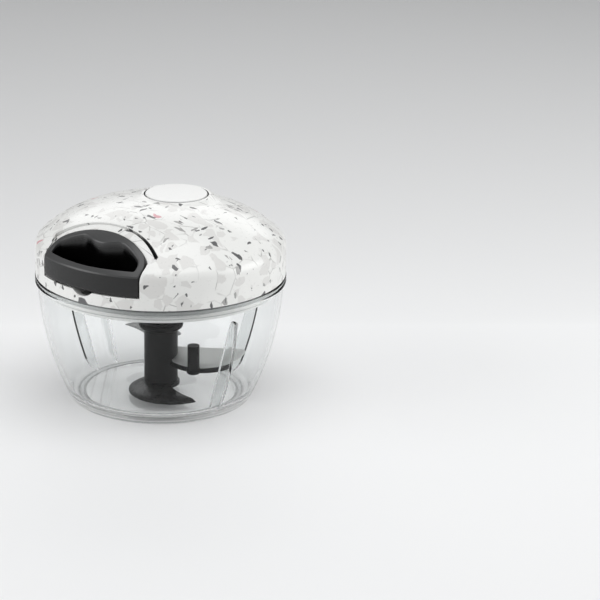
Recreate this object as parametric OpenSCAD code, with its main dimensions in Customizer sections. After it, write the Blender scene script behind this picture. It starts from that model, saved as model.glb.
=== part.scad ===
// Pull-string food chopper: a clear bowl with a turning blade unit, and a domed lid that holds
// a sprung cord spool. Pulling the handle unwinds the cord and spins the blades.
// Origin at the centre of the foot, +Z up, the handle pulls out along -Y. Millimetres.

/* [Bowl] */
// Outer radius of the rim
rim_r = 62.6; // [58:0.1:68]
// Height of the rim above the table
rim_z = 64.7; // [60:0.1:72]
// Height of the moulded bead round the rim
rim_h = 4.4; // [3:0.1:7]
// Wall thickness
bowl_wall = 2.0; // [1.6:0.1:2.6]
// Radius of the arc that the side wall follows
wall_arc_r = 149; // [130:1:180]
// How far the wall stands inside the rim's edge
rim_step = 1.1; // [0.8:0.1:2]
// Thickness of the floor
floor_t = 3.0; // [2.2:0.1:4]
// Rounding between floor and wall, inside
floor_fillet = 10; // [6:0.5:12]
// Rounding of the foot, outside
foot_round = 3; // [2:0.1:4]
// Depth of the hollow under the floor
foot_hollow = 1.0; // [0.6:0.1:1.4]
// Width of the foot ring
foot_w = 5.5; // [4:0.1:8]

/* [Bowl fins] */
// Number of fins on the wall
fin_n = 4; // [2:1:6]
// Direction of the first fin, in degrees
fin_az = -15; // [-45:1:45]
// Thickness of a fin
fin_t = 2.0; // [1.4:0.1:2.6]
// Radius of a fin's inner edge at the floor
fin_low_r = 39; // [37:0.5:42]
// Radius of a fin's inner edge at its top
fin_top_r = 55; // [53:0.5:56.5]
// Height of a fin's top
fin_top_z = 54; // [48:0.5:55]

/* [Lid] */
// How far the skirt stands inside the rim's edge
lid_inset = 0.2; // [0:0.1:1]
// Wall thickness
lid_wall = 2.2; // [1.8:0.1:3]
// Gap between the rim and the skirt
seam_gap = 0.3; // [0.2:0.05:0.6]
// Height of the straight part of the skirt
skirt_h = 13.6; // [12:0.1:16]
// Height of the dome's crown above the skirt's lower edge
crown_h = 36.6; // [34:0.1:40]
// Radius of the crown's arc
crown_r = 150; // [120:1:200]
// Radius of the shoulder
shoulder_r = 6.8; // [5:0.1:9]
// Slope where the crown meets the flank, in degrees
crown_slope = 12.5; // [10:0.5:15]

/* [Top cap] */
// Radius of the cap
cap_r = 15.5; // [12:0.1:18]
// Distance of the cap's centre from the lid's axis
cap_off = 12.6; // [8:0.1:16]
// Height of the cap's edge
cap_t = 1.4; // [1:0.1:2]
// Width of the groove round the cap
cap_groove = 0.7; // [0.4:0.1:1]
// Depth of that groove below the cap
cap_moat = 1.5; // [0.5:0.1:2]
// Width of the lid's lip round the groove
cap_lip = 1.1; // [0.8:0.1:2]
// Height of the seat's lip above the crown
cap_rise = 0.1; // [0:0.1:1]
// How far the seat flares out towards the dome
cap_flare = 5; // [2:0.5:6]
// Height over which the seat flares
cap_flare_h = 3.2; // [2.6:0.1:3.6]

/* [Pull handle] */
// Half the width of the handle
grip_half_w = 28.5; // [24:0.1:32]
// Distance of its back edge from the lid's axis
grip_back = 40.6; // [40:0.1:43]
// Radius of its back edge
grip_back_r = 58.5; // [50:0.5:70]
// Rounding of its back corners
grip_corner_r = 4; // [4:0.1:8]
// Height of its underside above the skirt's lower edge
grip_up = 6.5; // [5.5:0.1:8]
// Thickness of its side and back walls
grip_wall = 3.2; // [2.4:0.1:3.6]
// Thickness of its front wall
grip_front = 2.4; // [2:0.1:4]
// Thickness of its floor
grip_floor = 2.0; // [1.6:0.1:3]
// Gap between the handle and its pocket
grip_gap = 0.7; // [0.4:0.05:1]
// Radius of the bulge that holds the cord
bulge_r = 13; // [11:0.5:16]
// How far the bulge reaches in from the handle's back edge
bulge_in = 7.7; // [7:0.1:9]

/* [Handle pocket] */
// Wall thickness of the pocket
pocket_wall = 2.0; // [1.6:0.1:2.6]
// Width of the sunk band behind the handle
rebate_back = 5.5; // [4:0.1:6]
// Width of the sunk band beside the handle
rebate_side = 2.8; // [2:0.1:4]
// How far the band's face is shifted inwards from the dome
rebate_shift = 2.2; // [1.2:0.1:3]
// Width of the gap behind the band, in its middle
slot_mid = 0.5; // [0.3:0.1:1]
// Width of that gap at its ends
slot_end = 1.3; // [0.8:0.1:2]
// Radius of the finger nail notch under the handle
notch_r = 8; // [6:0.5:12]
// Depth of that notch
notch_h = 2.4; // [1:0.1:3]
// How far the notch reaches in from the skirt
notch_in = 9; // [6:0.5:12]

/* [Lid base] */
// Thickness of the plate
plate_t = 2.0; // [1.6:0.1:2.6]
// Depth of the plug that enters the bowl
plug_h = 7.5; // [6:0.1:9]
// Wall thickness of the plug
plug_wall = 3.0; // [2.6:0.1:4]
// Gap between the plug and the bowl
plug_gap = 1.0; // [0.8:0.1:1.4]
// Height of the seal
seal_h = 2.8; // [2:0.1:3.6]
// Gap between the seal and the bowl
seal_gap = 0.3; // [0.2:0.05:0.5]
// Depth of the seal's groove
seal_groove = 1.4; // [1:0.1:1.8]
// Gap between the lid screws' heads and the plug
screw_clear = 2.2; // [0.6:0.1:4]

/* [Spool] */
// Radius of the drum
drum_r = 20; // [18:0.5:22]
// Wall of the drum
drum_wall = 2.4; // [2:0.1:3]
// Radius of the flanges
spool_r = 30; // [27:0.5:32]
// Thickness of the lower flange
spool_floor = 1.9; // [1.6:0.1:2.4]
// Thickness of the upper flange
spool_top = 1.4; // [1.2:0.1:2]

/* [Cord] */
// Thickness of the cord
cord_d = 1.8; // [1.4:0.1:2]
// Turns on the drum
cord_turns = 3.5; // [2.5:0.5:3.5]
// Height of one turn
cord_pitch = 2.4; // [2.3:0.05:2.6]
// Radius of the knot
knot_r = 2.3; // [1.9:0.1:2.4]

/* [Recoil spring] */
// Thickness of the spring strip
strip_t = 0.5; // [0.3:0.05:0.7]
// Height of the spring strip
strip_h = 8.6; // [7:0.1:8.8]
// Turns of the spring
strip_turns = 6.5; // [5:0.5:7]

/* [Drive] */
// Radius of the shaft's upper pin
pin_r = 3.0; // [2.5:0.1:3.5]
// Wall of the spring arbor
arbor_wall = 1.95; // [1.6:0.05:2.4]
// Radius of the journal in the lid base
journal_r = 6.0; // [5.5:0.1:6.5]
// Running clearance of pins and journals
run_gap = 0.05; // [0.02:0.01:0.1]
// Wall of the drive bush
bush_wall = 0.95; // [0.8:0.05:1.4]
// Width across flats of the hexagon drive
hex_af = 8.0; // [7:0.1:9]
// Clearance round the hexagon drive
hex_gap = 0.3; // [0.2:0.05:0.5]
// How far the hexagon drive enters the hub
hex_in = 17; // [12:0.5:19]

/* [Blade unit] */
// Radius of the hub
hub_r = 8.5; // [8:0.1:10]
// Height of the hub's lower end
hub_z = 6.6; // [6:0.1:8]
// Height of the collar's middle
collar_z = 36.6; // [34:0.1:38]
// Radius of the collar
collar_r = 11.2; // [10:0.1:13]
// Thickness of the collar
collar_t = 3.0; // [2.4:0.1:4]
// Radius of the neck above the collar
neck_r = 7.2; // [6.8:0.1:8]
// Height of the neck's top
neck_z = 50; // [48:0.5:52]
// Radius of the pivot pin
pivot_r = 3.0; // [2.5:0.1:3.5]
// Height of the pivot pin's top
pivot_z = 17.5; // [15:0.1:18]
// Gap between the blade unit and its seat
pivot_gap = 0.3; // [0.2:0.05:0.5]

/* [Blades] */
// Thickness of the steel blades
blade_t = 1.2; // [0.8:0.1:1.5]
// Thickness of the lower blade
low_t = 1.5; // [1.2:0.1:2]
// Width of the ground bevel along each cutting edge
bevel_w = 2.4; // [1:0.1:3]
// Thickness left at the cutting edge
edge_land = 0.3; // [0.1:0.05:0.5]
// Direction of the lower blade's tip
low_az = 337; // [330:1:345]
// Direction of the middle blade
mid_az = 30; // [20:1:40]
// Direction of the upper blade's tip
up_az = 162; // [155:1:170]
// Height of the middle blade
mid_z = 20; // [19.5:0.1:21]
// Height of the upper blade
up_z = 28; // [27.5:0.1:29]
// Tilt of the middle blade, in degrees
mid_tilt = 12; // [8:0.5:14]
// Reach of the lower blade's tip
low_reach = 32; // [28:0.5:33]
// Reach of the upper blade's tip
up_reach = 29; // [26:0.5:32]
// Height of the stirring peg above the arm
peg_h = 12; // [8:0.5:13]
// Radius of the stirring peg
peg_r = 3.0; // [2.4:0.1:3.2]

/* [Hidden] */
$fn = 96;
over = 1;

// bowl
wall_rim_r = rim_r - rim_step;
wall_up = 2.5;
wall_cz = rim_z + wall_up;
wall_cx = wall_rim_r - wall_arc_r;
foot_cx = wall_cx + sqrt(pow(wall_arc_r - foot_round, 2) - pow(wall_cz - foot_round, 2));
bowl_in_r = wall_arc_r - bowl_wall;
fillet_z = floor_t + floor_fillet;
fillet_x = wall_cx + sqrt(pow(bowl_in_r - floor_fillet, 2) - pow(wall_cz - fillet_z, 2));
mouth_r = wall_rim_r - bowl_wall;
seat_z = hub_z - low_t - pivot_gap;
seat_r = 6;
pivot_skin = 0.8;
pivot_foot = foot_hollow + pivot_skin;

// lid
lid_z = rim_z + seam_gap;
crown_z = lid_z + crown_h;
shoulder_z = lid_z + skirt_h;
lid_r = rim_r - lid_inset;
lid_in_r = lid_r - lid_wall;

// dome: the flank's arc touches the crown's at the crown's slope, and meets the shoulder's further
// out, where the shoulder stands just proud of it
shoulder_lap = 0.05;
crown_cz = crown_z - crown_r;
shoulder_x = lid_r - shoulder_r;
shoulder_up = shoulder_z - crown_cz;
inner_r = crown_r - shoulder_r + shoulder_lap;
flank_off = (pow(inner_r, 2) - pow(shoulder_x, 2) - pow(shoulder_up, 2))
    / (2 * (inner_r - shoulder_x * sin(crown_slope) - shoulder_up * cos(crown_slope)));
flank_r = crown_r - flank_off;
flank_x = flank_off * sin(crown_slope);
flank_z = crown_cz + flank_off * cos(crown_slope);
shoulder_slope = atan2(shoulder_x - flank_x, shoulder_z - flank_z);

// cap and its seat
cap_seat_r = cap_r + cap_groove;
cap_rim_r = cap_seat_r + cap_lip;
cap_lip_z = crown_z + cap_rise;
cap_sink = 0.7;
cap_z = cap_lip_z - cap_sink;
cap_top = cap_z + cap_t;
cap_stem_r = 6;
cap_stem_h = 2.8;
cap_block_h = 4.2;

// handle and pocket
grip_z = lid_z + grip_up;
pocket_z = grip_z - grip_gap;
back_cy = grip_back + grip_back_r;
grip_corner_y = back_arc_y(grip_back_r - grip_corner_r, grip_half_w - grip_corner_r);
bulge_y = grip_back + bulge_in - bulge_r;
rebate_back_r = grip_back_r + rebate_back;
rebate_half_w = grip_half_w + rebate_side;
rebate_end_y = back_arc_y(rebate_back_r, rebate_half_w);
slot_off = (slot_end - slot_mid) / (1 - cos(asin(rebate_half_w / rebate_back_r)));
slot_back_r = rebate_back_r - slot_mid - slot_off;
knot_room = 0.3;
knot_y = grip_back + bulge_in / 2;

// lid base and drive, from the plate upwards
plate_z = lid_z + seam_gap;
plate_top = plate_z + plate_t;
plug_z = plate_z - plug_h;
plug_r = wall_in_at(plug_z) - plug_gap;
seal_z = plug_z + plug_h / 2;
seal_r = wall_in_at(seal_z - seal_h / 2) - seal_gap;
rib_n = 6;
rib_t = 1.6;
hub_boss_wall = 3;
bush_r = journal_r + run_gap + bush_wall;
bush_rim_w = 2.5;
bush_rim_t = 1;
thrust_gap = 0.1;
washer_t = 0.6;
washer_z = plate_top + bush_rim_t + thrust_gap;
shaft_rim_r = 10;
shaft_rim_t = 2;
shaft_rim_z = washer_z + washer_t + thrust_gap;
spool_z = shaft_rim_z + shaft_rim_t;
drum_z = spool_z + spool_floor;
cord_gap = 0.3;
drum_top = drum_z + cord_turns * cord_pitch + cord_d + 2 * cord_gap;
drum_in_r = drum_r - drum_wall;
cover_t = spool_top;
arbor_r = pin_r + run_gap + arbor_wall;
end_room = 1;
strip_room = 0.6;
arbor_z = drum_z + end_room;
arbor_rim_z = drum_top + spool_top + 3 * end_room;
arbor_rim_t = 2;
arbor_rim_w = 4;
arbor_rim_r = arbor_r + arbor_rim_w;
arbor_top = arbor_rim_z + arbor_rim_t;
arbor_stem_r = arbor_r - strip_t;
arbor_stem_h = 5;
boss_r = arbor_rim_r + end_room;
pin_top = arbor_rim_z - end_room;
shaft_low = neck_z - hex_in;

// screws
screw_r = 1.5;
screw_post_r = 3.9;
screw_head_r = 3;
screw_ring_r = plug_r - plug_wall - screw_clear - screw_head_r;
screw_head_h = 2;
small_screw_r = 0.85;
small_head_r = 1.6;
small_head_h = 1.2;
screw_fit = 0.05;
screw_az = [35, 145, 215, 325];
screw_in = 9;
small_screw_in = 4;
spool_screw_r = 7.2;
spool_screw_az = [60, 180, 300];
arbor_screw_az = [0, 120, 240];
arbor_screw_r = (arbor_r + arbor_rim_r) / 2;

// cord: it leaves the drum on a tangent, bends round the guide's lip and ends at the handle's knot
cord_lay_r = drum_r + cord_d / 2 + cord_gap;
cord_z = drum_top - cord_d / 2 - cord_gap;
guide_y = grip_back - grip_gap - pocket_wall / 2;
guide_lip = pocket_wall / 2;
guide_bore_r = cord_d / 2 + cord_gap;
guide_r = guide_bore_r + 2 * guide_lip;
bend_r = guide_bore_r + guide_lip;
bend_angle = asin((cord_lay_r + bend_r) / norm([bend_r, guide_y])) - atan(bend_r / guide_y);
leave_az = 360 - bend_angle;

// blades
mid_lead = [20.8, 11.1];
mid_lead_r = 22.3;
mid_back = 6.5;
arm_w = 3.5;
arm_out = 1.2;
arm_t = 2.0;
arm_end = 36;
peg_x = 17.7;
peg_y = mid_lead[1] - sqrt(pow(mid_lead_r, 2) - pow(peg_x - mid_lead[0], 2));
peg_gap = 0.2;
peg_pad = 0.6;
low_lead_r = 21.4;
up_lead_r = 17;
up_root_w = 17;
up_root_y = 13.5;
trail_r = 40;
trail_x = 18;
trail_cut = 1;
root_r = 9.5;
slot_gap = 0.02;

// A ring or disc between two radii and two heights, in the half plane of a revolved profile
module band(r0, r1, z0, z1) {
    translate([r0, z0]) square([r1 - r0, z1 - z0]);
}

module disc_at(x, y, r) {
    translate([x, y]) circle(r);
}

// Inner radius of the bowl's wall at a height
function wall_in_at(z) = wall_cx + sqrt(pow(bowl_in_r, 2) - pow(wall_cz - z, 2));

module cyl(r, z0, z1) {
    translate([0, 0, z0]) cylinder(r = r, h = z1 - z0);
}

// The handle's side of the lid: local +Y points away from the lid's axis
module pull_side() {
    rotate(180) children();
}

module around(angles, r) {
    for (a = angles) rotate(a) translate([r, 0, 0]) children();
}

// Half plane to the axis side of a line from a point, leaning out by slope degrees
module inside_of(x, z, slope) {
    reach = 2 * crown_r;
    translate([x, z]) rotate(-slope) translate([-reach, -reach]) square([reach, 2 * reach]);
}

// Outer profile of the lid: skirt, shoulder, flank and crown as tangent arcs
module dome_profile(inset) {
    intersection() {
        union() {
            intersection() {
                disc_at(0, crown_cz, crown_r - inset);
                inside_of(0, crown_cz, crown_slope);
            }
            intersection() {
                disc_at(flank_x, flank_z, flank_r - inset);
                inside_of(flank_x, flank_z, shoulder_slope);
            }
            disc_at(shoulder_x, shoulder_z, shoulder_r - inset);
            band(0, lid_r - inset, 0, shoulder_z);
        }
        band(0, 2 * lid_r, lid_z, crown_z + over);
    }
}

module dome(inset = 0) {
    rotate_extrude() dome_profile(inset);
}

// Distance from the lid's axis to an arc about the handle's back centre, at a place across it
function back_arc_y(r, x) = back_cy - sqrt(pow(r, 2) - pow(x, 2));

// Plan of the handle, grown by a margin: an arc at the back, rounded corners, open at the front
module grip_plan(grow, front) {
    x = grip_half_w - grip_corner_r;
    arc_x = x * (grip_back_r + grow) / (grip_back_r - grip_corner_r);
    half_w = grip_half_w + grow;
    intersection() {
        disc_at(0, back_cy, grip_back_r + grow);
        translate([-arc_x, 0]) square([2 * arc_x, front]);
    }
    for (s = [-1, 1]) disc_at(s * x, grip_corner_y, grip_corner_r + grow);
    translate([-half_w, grip_corner_y]) square([2 * half_w, front - grip_corner_y]);
}

module grip_column(grow, z0) {
    pull_side() translate([0, 0, z0])
        linear_extrude(crown_z - z0 + over) grip_plan(grow, lid_r + over);
}

module bowl_outside() {
    touch = wall_arc_r / (wall_arc_r - foot_round);
    intersection() {
        disc_at(wall_cx, wall_cz, wall_arc_r);
        band(0, rim_r, wall_cz - (wall_cz - foot_round) * touch, rim_z);
    }
    disc_at(foot_cx, foot_round, foot_round);
    band(0, foot_cx, 0, floor_t);
    bead = rim_h / 4;
    for (k = [1, 3]) disc_at(rim_r - bead, rim_z - k * bead, bead);
    band(mouth_r, rim_r - bead, rim_z - rim_h, rim_z);
    band(mouth_r, rim_r - bead / 2, rim_z - 3 * bead, rim_z - bead);
}

module bowl_inside() {
    touch = bowl_in_r / (bowl_in_r - floor_fillet);
    intersection() {
        disc_at(wall_cx, wall_cz, bowl_in_r);
        band(0, rim_r, wall_cz - (wall_cz - fillet_z) * touch, rim_z + over);
    }
    disc_at(fillet_x, fillet_z, floor_fillet);
    band(0, fillet_x, floor_t, rim_z + over);
}

// One fin, from its straight inner edge out into the wall
module fin_profile() {
    tip = fin_t;
    intersection() {
        disc_at(wall_cx, wall_cz, wall_arc_r - bowl_wall / 2);
        union() {
            polygon([[fin_low_r, floor_t - bowl_wall / 2], [fin_top_r, fin_top_z - tip],
                [rim_r, fin_top_z - tip], [rim_r, floor_t - bowl_wall / 2]]);
            disc_at(fin_top_r + tip, fin_top_z - tip, tip);
            band(fin_top_r + tip, rim_r, fin_top_z - 2 * tip, fin_top_z);
        }
    }
}

module bowl() {
    color("gainsboro", 0.35) difference() {
        union() {
            rotate_extrude() difference() {
                intersection() {
                    bowl_outside();
                    band(0, rim_r + over, 0, rim_z);
                }
                bowl_inside();
                band(0, foot_cx - foot_w, -over, foot_hollow);
            }
            for (k = [0 : fin_n - 1]) rotate(fin_az + k * 360 / fin_n)
                rotate([90, 0, 0]) translate([0, 0, -fin_t / 2]) linear_extrude(fin_t) fin_profile();
            cyl(seat_r, floor_t - bowl_wall / 2, seat_z);
        }
        cyl(pivot_r + slot_gap, pivot_foot, seat_z + over);
    }
}

module pivot_pin() {
    color("silver") rotate_extrude() {
        band(0, pivot_r, pivot_foot, pivot_z - pivot_r / 2);
        band(0, pivot_r / 2, pivot_foot, pivot_z);
        intersection() {
            disc_at(pivot_r / 2, pivot_z - pivot_r / 2, pivot_r / 2);
            band(0, pivot_r, pivot_foot, pivot_z);
        }
    }
}

// Plan of the sunk band behind the handle, its ends leaning out from the handle's sides
module rebate_plan(grow = 0) {
    near = [grip_half_w + grow, grip_corner_y];
    far = near + 2 * [rebate_side, rebate_end_y - grip_corner_y];
    intersection() {
        disc_at(0, back_cy, rebate_back_r + grow);
        polygon([[-far[0], 0], [far[0], 0], far, near, [-near[0], near[1]], [-far[0], far[1]]]);
    }
}

module rebate_column() {
    pull_side() translate([0, 0, shoulder_z]) linear_extrude(crown_z) children();
}

// What the band and the gap behind it take out of the lid; the gap widens towards its ends
module rebate() {
    difference() {
        rebate_column() rebate_plan();
        translate([0, rebate_shift, 0]) dome();
    }
    difference() {
        rebate_column() difference() {
            rebate_plan();
            disc_at(0, back_cy - slot_off, slot_back_r);
        }
        dome(lid_wall + over);
    }
}

module lid_cover() {
    color("whitesmoke") difference() {
        union() {
            difference() {
                dome();
                translate([0, 0, -over]) dome(lid_wall);
                cyl(lid_in_r, lid_z - over, lid_z + over);
            }
            intersection() {
                dome(lid_wall / 2);
                union() {
                    grip_column(grip_gap + pocket_wall, pocket_z - pocket_wall);
                    difference() {
                        rebate_column() rebate_plan(over);
                        translate([0, rebate_shift, 0]) dome(lid_wall);
                    }
                    cyl(boss_r, arbor_top, crown_z);
                    around(screw_az, screw_ring_r) cyl(screw_post_r, plate_top, crown_z);
                }
            }
            translate([0, cap_off, 0]) {
                cyl(cap_rim_r, cap_lip_z - cap_block_h, cap_lip_z);
                translate([0, 0, cap_lip_z - cap_flare_h])
                    cylinder(r1 = cap_rim_r + cap_flare, r2 = cap_rim_r, h = cap_flare_h);
            }
        }
        grip_column(grip_gap, pocket_z);
        rebate();
        translate([0, cap_off, 0]) {
            cyl(cap_seat_r, cap_z, crown_z + over);
            rotate_extrude() band(cap_r - cap_groove, cap_seat_r, cap_z - cap_moat, cap_z + over);
            cyl(cap_stem_r + screw_fit, cap_z - cap_stem_h - run_gap, cap_z + over);
        }
        translate([0, notch_in - lid_r, pocket_z - notch_h + notch_r]) rotate([90, 0, 0])
            cylinder(r = notch_r, h = notch_in + over);
        translate([0, -guide_y, cord_z]) rotate([90, 0, 0])
            cylinder(r = guide_r + slot_gap, h = 3 * pocket_wall, center = true);
        cyl(arbor_stem_r + slot_gap, arbor_top - over, arbor_top + arbor_stem_h + run_gap);
        around(arbor_screw_az, arbor_screw_r)
            cyl(small_screw_r + screw_fit, arbor_top - over, arbor_top + small_screw_in);
        around(screw_az, screw_ring_r)
            cyl(screw_r + screw_fit, plate_top - over, plate_top + screw_in + over);
    }
}

module lid_base() {
    rib_in_r = bush_r + hub_boss_wall - over;
    color("white") difference() {
        union() {
            rotate_extrude() difference() {
                union() {
                    band(0, lid_in_r - seam_gap, plate_z, plate_top);
                    band(plug_r - plug_wall, plug_r, plug_z, plate_top);
                    band(0, bush_r + hub_boss_wall, plug_z, plate_top);
                }
                band(plug_r - seal_groove, plug_r + over, seal_z - seal_h / 2, seal_z + seal_h / 2);
            }
            for (k = [0 : rib_n - 1]) rotate(k * 360 / rib_n)
                translate([rib_in_r, -rib_t / 2, plug_z + plug_h / 2])
                    cube([plug_r - plug_wall + over - rib_in_r, rib_t, (plug_h + plate_t) / 2]);
        }
        cyl(bush_r + slot_gap, plug_z - over, plate_top + over);
        around(screw_az, screw_ring_r) cyl(screw_r + screw_fit, plate_z - over, plate_top + over);
    }
}

module seal_ring() {
    fit = 0.05;
    inner = plug_r - seal_groove + fit;
    half = seal_h / 2 - fit;
    color("lightgray") rotate_extrude() {
        band(inner, seal_r - half / 2, seal_z - half, seal_z + half);
        for (s = [-1, 1]) disc_at(seal_r - half / 2, seal_z + s * half / 2, half / 2);
    }
}

module top_cap() {
    edge = cap_t / 3;
    color("white") translate([0, cap_off, 0]) rotate_extrude() {
        band(0, cap_r, cap_z, cap_top - edge);
        band(0, cap_r - edge, cap_z, cap_top);
        disc_at(cap_r - edge, cap_top - edge, edge);
        band(0, cap_stem_r, cap_z - cap_stem_h, cap_z + edge);
    }
}

// Eyelet in the pocket's back wall, with a rounded lip for the cord
module cord_guide() {
    color("dimgray") translate([0, -guide_y, cord_z]) rotate([90, 0, 0]) rotate_extrude() {
        disc_at(bend_r, 0, guide_lip);
        band(bend_r, guide_r, -guide_lip, guide_lip);
    }
}

module spring_arbor() {
    color("gainsboro") difference() {
        union() {
            cyl(arbor_r, arbor_z, arbor_top);
            cyl(arbor_rim_r, arbor_rim_z, arbor_top);
            cyl(arbor_stem_r, arbor_rim_z, arbor_top + arbor_stem_h);
        }
        cyl(pin_r + run_gap, arbor_z - over, arbor_rim_z);
        translate([0, -strip_t, arbor_z - over]) cube([2 * arbor_r, 2 * strip_t, strip_h + 3 * over]);
        around(arbor_screw_az, arbor_screw_r)
            cyl(small_screw_r + screw_fit, arbor_rim_z - over, arbor_top + over);
    }
}

// Pan head screw standing up from z, with its head below
module screw(r, head_r, head_h, length) {
    edge = head_h / 3;
    rotate_extrude() {
        band(0, r, -edge, length);
        band(0, head_r, -head_h + edge, 0);
        band(0, head_r - edge, -head_h, 0);
        intersection() {
            disc_at(head_r - edge, -head_h + edge, edge);
            band(0, head_r, -head_h, 0);
        }
    }
}

module arbor_screws() {
    color("silver") around(arbor_screw_az, arbor_screw_r) translate([0, 0, arbor_rim_z])
        screw(small_screw_r, small_head_r, small_head_h, arbor_rim_t + small_screw_in - over);
}

module lid_screws() {
    color("silver") around(screw_az, screw_ring_r) translate([0, 0, plate_z])
        screw(screw_r, screw_head_r, screw_head_h, plate_t + screw_in);
}

module spool_screws() {
    color("silver") around(spool_screw_az, spool_screw_r) translate([0, 0, drum_z]) rotate([180, 0, 0])
        screw(small_screw_r, small_head_r, small_head_h, spool_floor + shaft_rim_t / 2);
}

module drive_bush() {
    color("ivory") rotate_extrude() {
        band(journal_r + run_gap, bush_r, plug_z, plate_top + bush_rim_t);
        band(journal_r + run_gap, bush_r + bush_rim_w, plate_top, plate_top + bush_rim_t);
    }
}

module thrust_washer() {
    color("silver") rotate_extrude()
        band(journal_r + run_gap, shaft_rim_r, washer_z, washer_z + washer_t);
}

module spool() {
    color("white") difference() {
        rotate_extrude() {
            band(pin_r + slot_gap, spool_r, spool_z, drum_z);
            band(drum_in_r, drum_r, spool_z, drum_top + spool_top);
            band(drum_in_r, spool_r, drum_top, drum_top + spool_top);
        }
        around(spool_screw_az, spool_screw_r)
            cyl(small_screw_r + screw_fit, spool_z - over, drum_z + over);
    }
}

module spring_cover() {
    color("gainsboro") rotate_extrude()
        band(arbor_r + seam_gap, drum_in_r - screw_fit, drum_top + spool_top - cover_t, drum_top + spool_top);
}

// Flat spiral spring: a strip of constant height, its inner tail in the arbor's slot
module spiral_spring() {
    steps = 24;
    r0 = arbor_r + strip_t;
    r1 = drum_in_r - strip_t;
    n = steps * strip_turns;
    function at(k, side) = let(r = r0 + (r1 - r0) * k / n + side * strip_t / 2, a = 360 * k / steps)
        [r * cos(a), r * sin(a)];
    tail = r0 - arbor_wall;
    color("lightsteelblue") translate([0, 0, arbor_z + strip_room]) linear_extrude(strip_h)
        polygon(concat([for (k = [0 : n]) at(k, 1)], [for (k = [n : -1 : 1]) at(k, -1)],
            [[r0 - strip_t / 2, strip_t / 2], [tail, strip_t / 2], [tail, -strip_t / 2],
            [r0 + strip_t / 2, -strip_t / 2]]));
}

// Tube of a given radius swept along points, with upright rings square to the path
module tube(points, r, sides) {
    n = len(points);
    function dir(k) = let(d = points[min(k + 1, n - 1)] - points[max(k - 1, 0)]) d / norm(d);
    function flat(d) = [d[1], -d[0], 0] / norm([d[0], d[1]]);
    rings = [for (k = [0 : n - 1]) let(d = dir(k), s = flat(d), u = cross(s, d))
        for (i = [0 : sides - 1]) points[k] + r * (cos(360 * i / sides) * s + sin(360 * i / sides) * u)];
    walls = [for (k = [0 : n - 2], i = [0 : sides - 1]) let(j = (i + 1) % sides, a = k * sides)
        each [[a + i, a + j, a + sides + i], [a + j, a + sides + j, a + sides + i]]];
    first = [for (i = [1 : sides - 2]) [0, i + 1, i]];
    last = [for (i = [1 : sides - 2]) (n - 1) * sides * [1, 1, 1] + [0, i, i + 1]];
    polyhedron(rings, concat(first, walls, last));
}

// Single layer of cord on the drum, from where the run leaves it
function wound(t) = let(a = leave_az + t * 360)
    [cord_lay_r * cos(a), cord_lay_r * sin(a), cord_z - t * cord_pitch];

winding_steps = 24;
winding = [for (k = [0 : winding_steps * cord_turns]) wound(k / winding_steps)];
winding_gap = min([for (i = [0 : len(winding) - 1], j = [i + winding_steps / 2 : 1 : len(winding) - 1])
    norm(winding[i] - winding[j])]) - cord_d;
echo(least_gap_between_turns = winding_gap);

module cord_winding() {
    color("black") tube(winding, cord_d / 2, 6);
}

module cord_run() {
    steps = 6;
    inward = [sin(bend_angle), cos(bend_angle), 0];
    knot = [0, -knot_y + knot_r + knot_room / 2, cord_z];
    bend = [for (k = [steps : -1 : 0]) let(a = bend_angle * k / steps)
        [0, -guide_y, cord_z] + bend_r * [1 - cos(a), sin(a), 0]];
    color("black") tube(concat([wound(0) - cord_gap * inward], bend, [knot]), cord_d / 2, 8);
}

module cord_knot() {
    lap_r = knot_r * 0.38;
    color("black") translate([0, -knot_y, cord_z]) rotate([90, 0, 0]) rotate_extrude() {
        for (s = [-1, 1]) disc_at(knot_r - lap_r, s * lap_r, lap_r);
        band(0, knot_r - lap_r, -2 * lap_r, 2 * lap_r);
    }
}

// Outer form of the handle: the lid's flank, run on to a crisp edge at the front
module grip_dome() {
    rotate_extrude() intersection() {
        disc_at(flank_x, flank_z, flank_r);
        band(0, lid_r, lid_z, crown_z);
    }
}

module pull_handle() {
    color("#2b2b2b") difference() {
        intersection() {
            grip_column(0, grip_z);
            grip_dome();
        }
        pull_side() translate([0, 0, grip_z + grip_floor]) linear_extrude(crown_z) difference() {
            intersection() {
                grip_plan(-grip_wall, lid_r);
                circle(lid_r - grip_front);
            }
            disc_at(0, bulge_y, bulge_r);
        }
        translate([0, -knot_y, 0]) cyl(knot_r + knot_room, grip_z - over, cord_z + knot_r + knot_room);
        translate([0, -knot_y, cord_z]) rotate([-90, 0, 0]) cylinder(r = guide_bore_r, h = bulge_in);
    }
}

module drive_shaft() {
    color("white") difference() {
        union() {
            cyl(pin_r, shaft_rim_z, pin_top);
            cyl(shaft_rim_r, shaft_rim_z, spool_z);
            cyl(journal_r, plug_z - over, spool_z);
            translate([0, 0, shaft_low]) rotate(low_az)
                cylinder(d = hex_af / cos(30), h = plug_z - shaft_low, $fn = 6);
        }
        around(spool_screw_az, spool_screw_r)
            cyl(small_screw_r + screw_fit, shaft_rim_z - over, spool_z + over);
    }
}

// Sickle: a disc for the cutting edge, less a larger disc behind it, the tip on +X
module sickle_plan(reach, lead_r) {
    lead_x = reach - lead_r;
    difference() {
        disc_at(lead_x, 0, lead_r);
        disc_at(trail_x, trail_r - trail_cut, trail_r);
    }
    circle(root_r);
}

// Disc with its rim ground to a bevel, for a cutting edge
module ground_disc(x, y, r, t) {
    translate([x, y, 0]) rotate_extrude()
        polygon([[0, 0], [r, 0], [r, edge_land], [r - bevel_w, t], [0, t]]);
}

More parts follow.
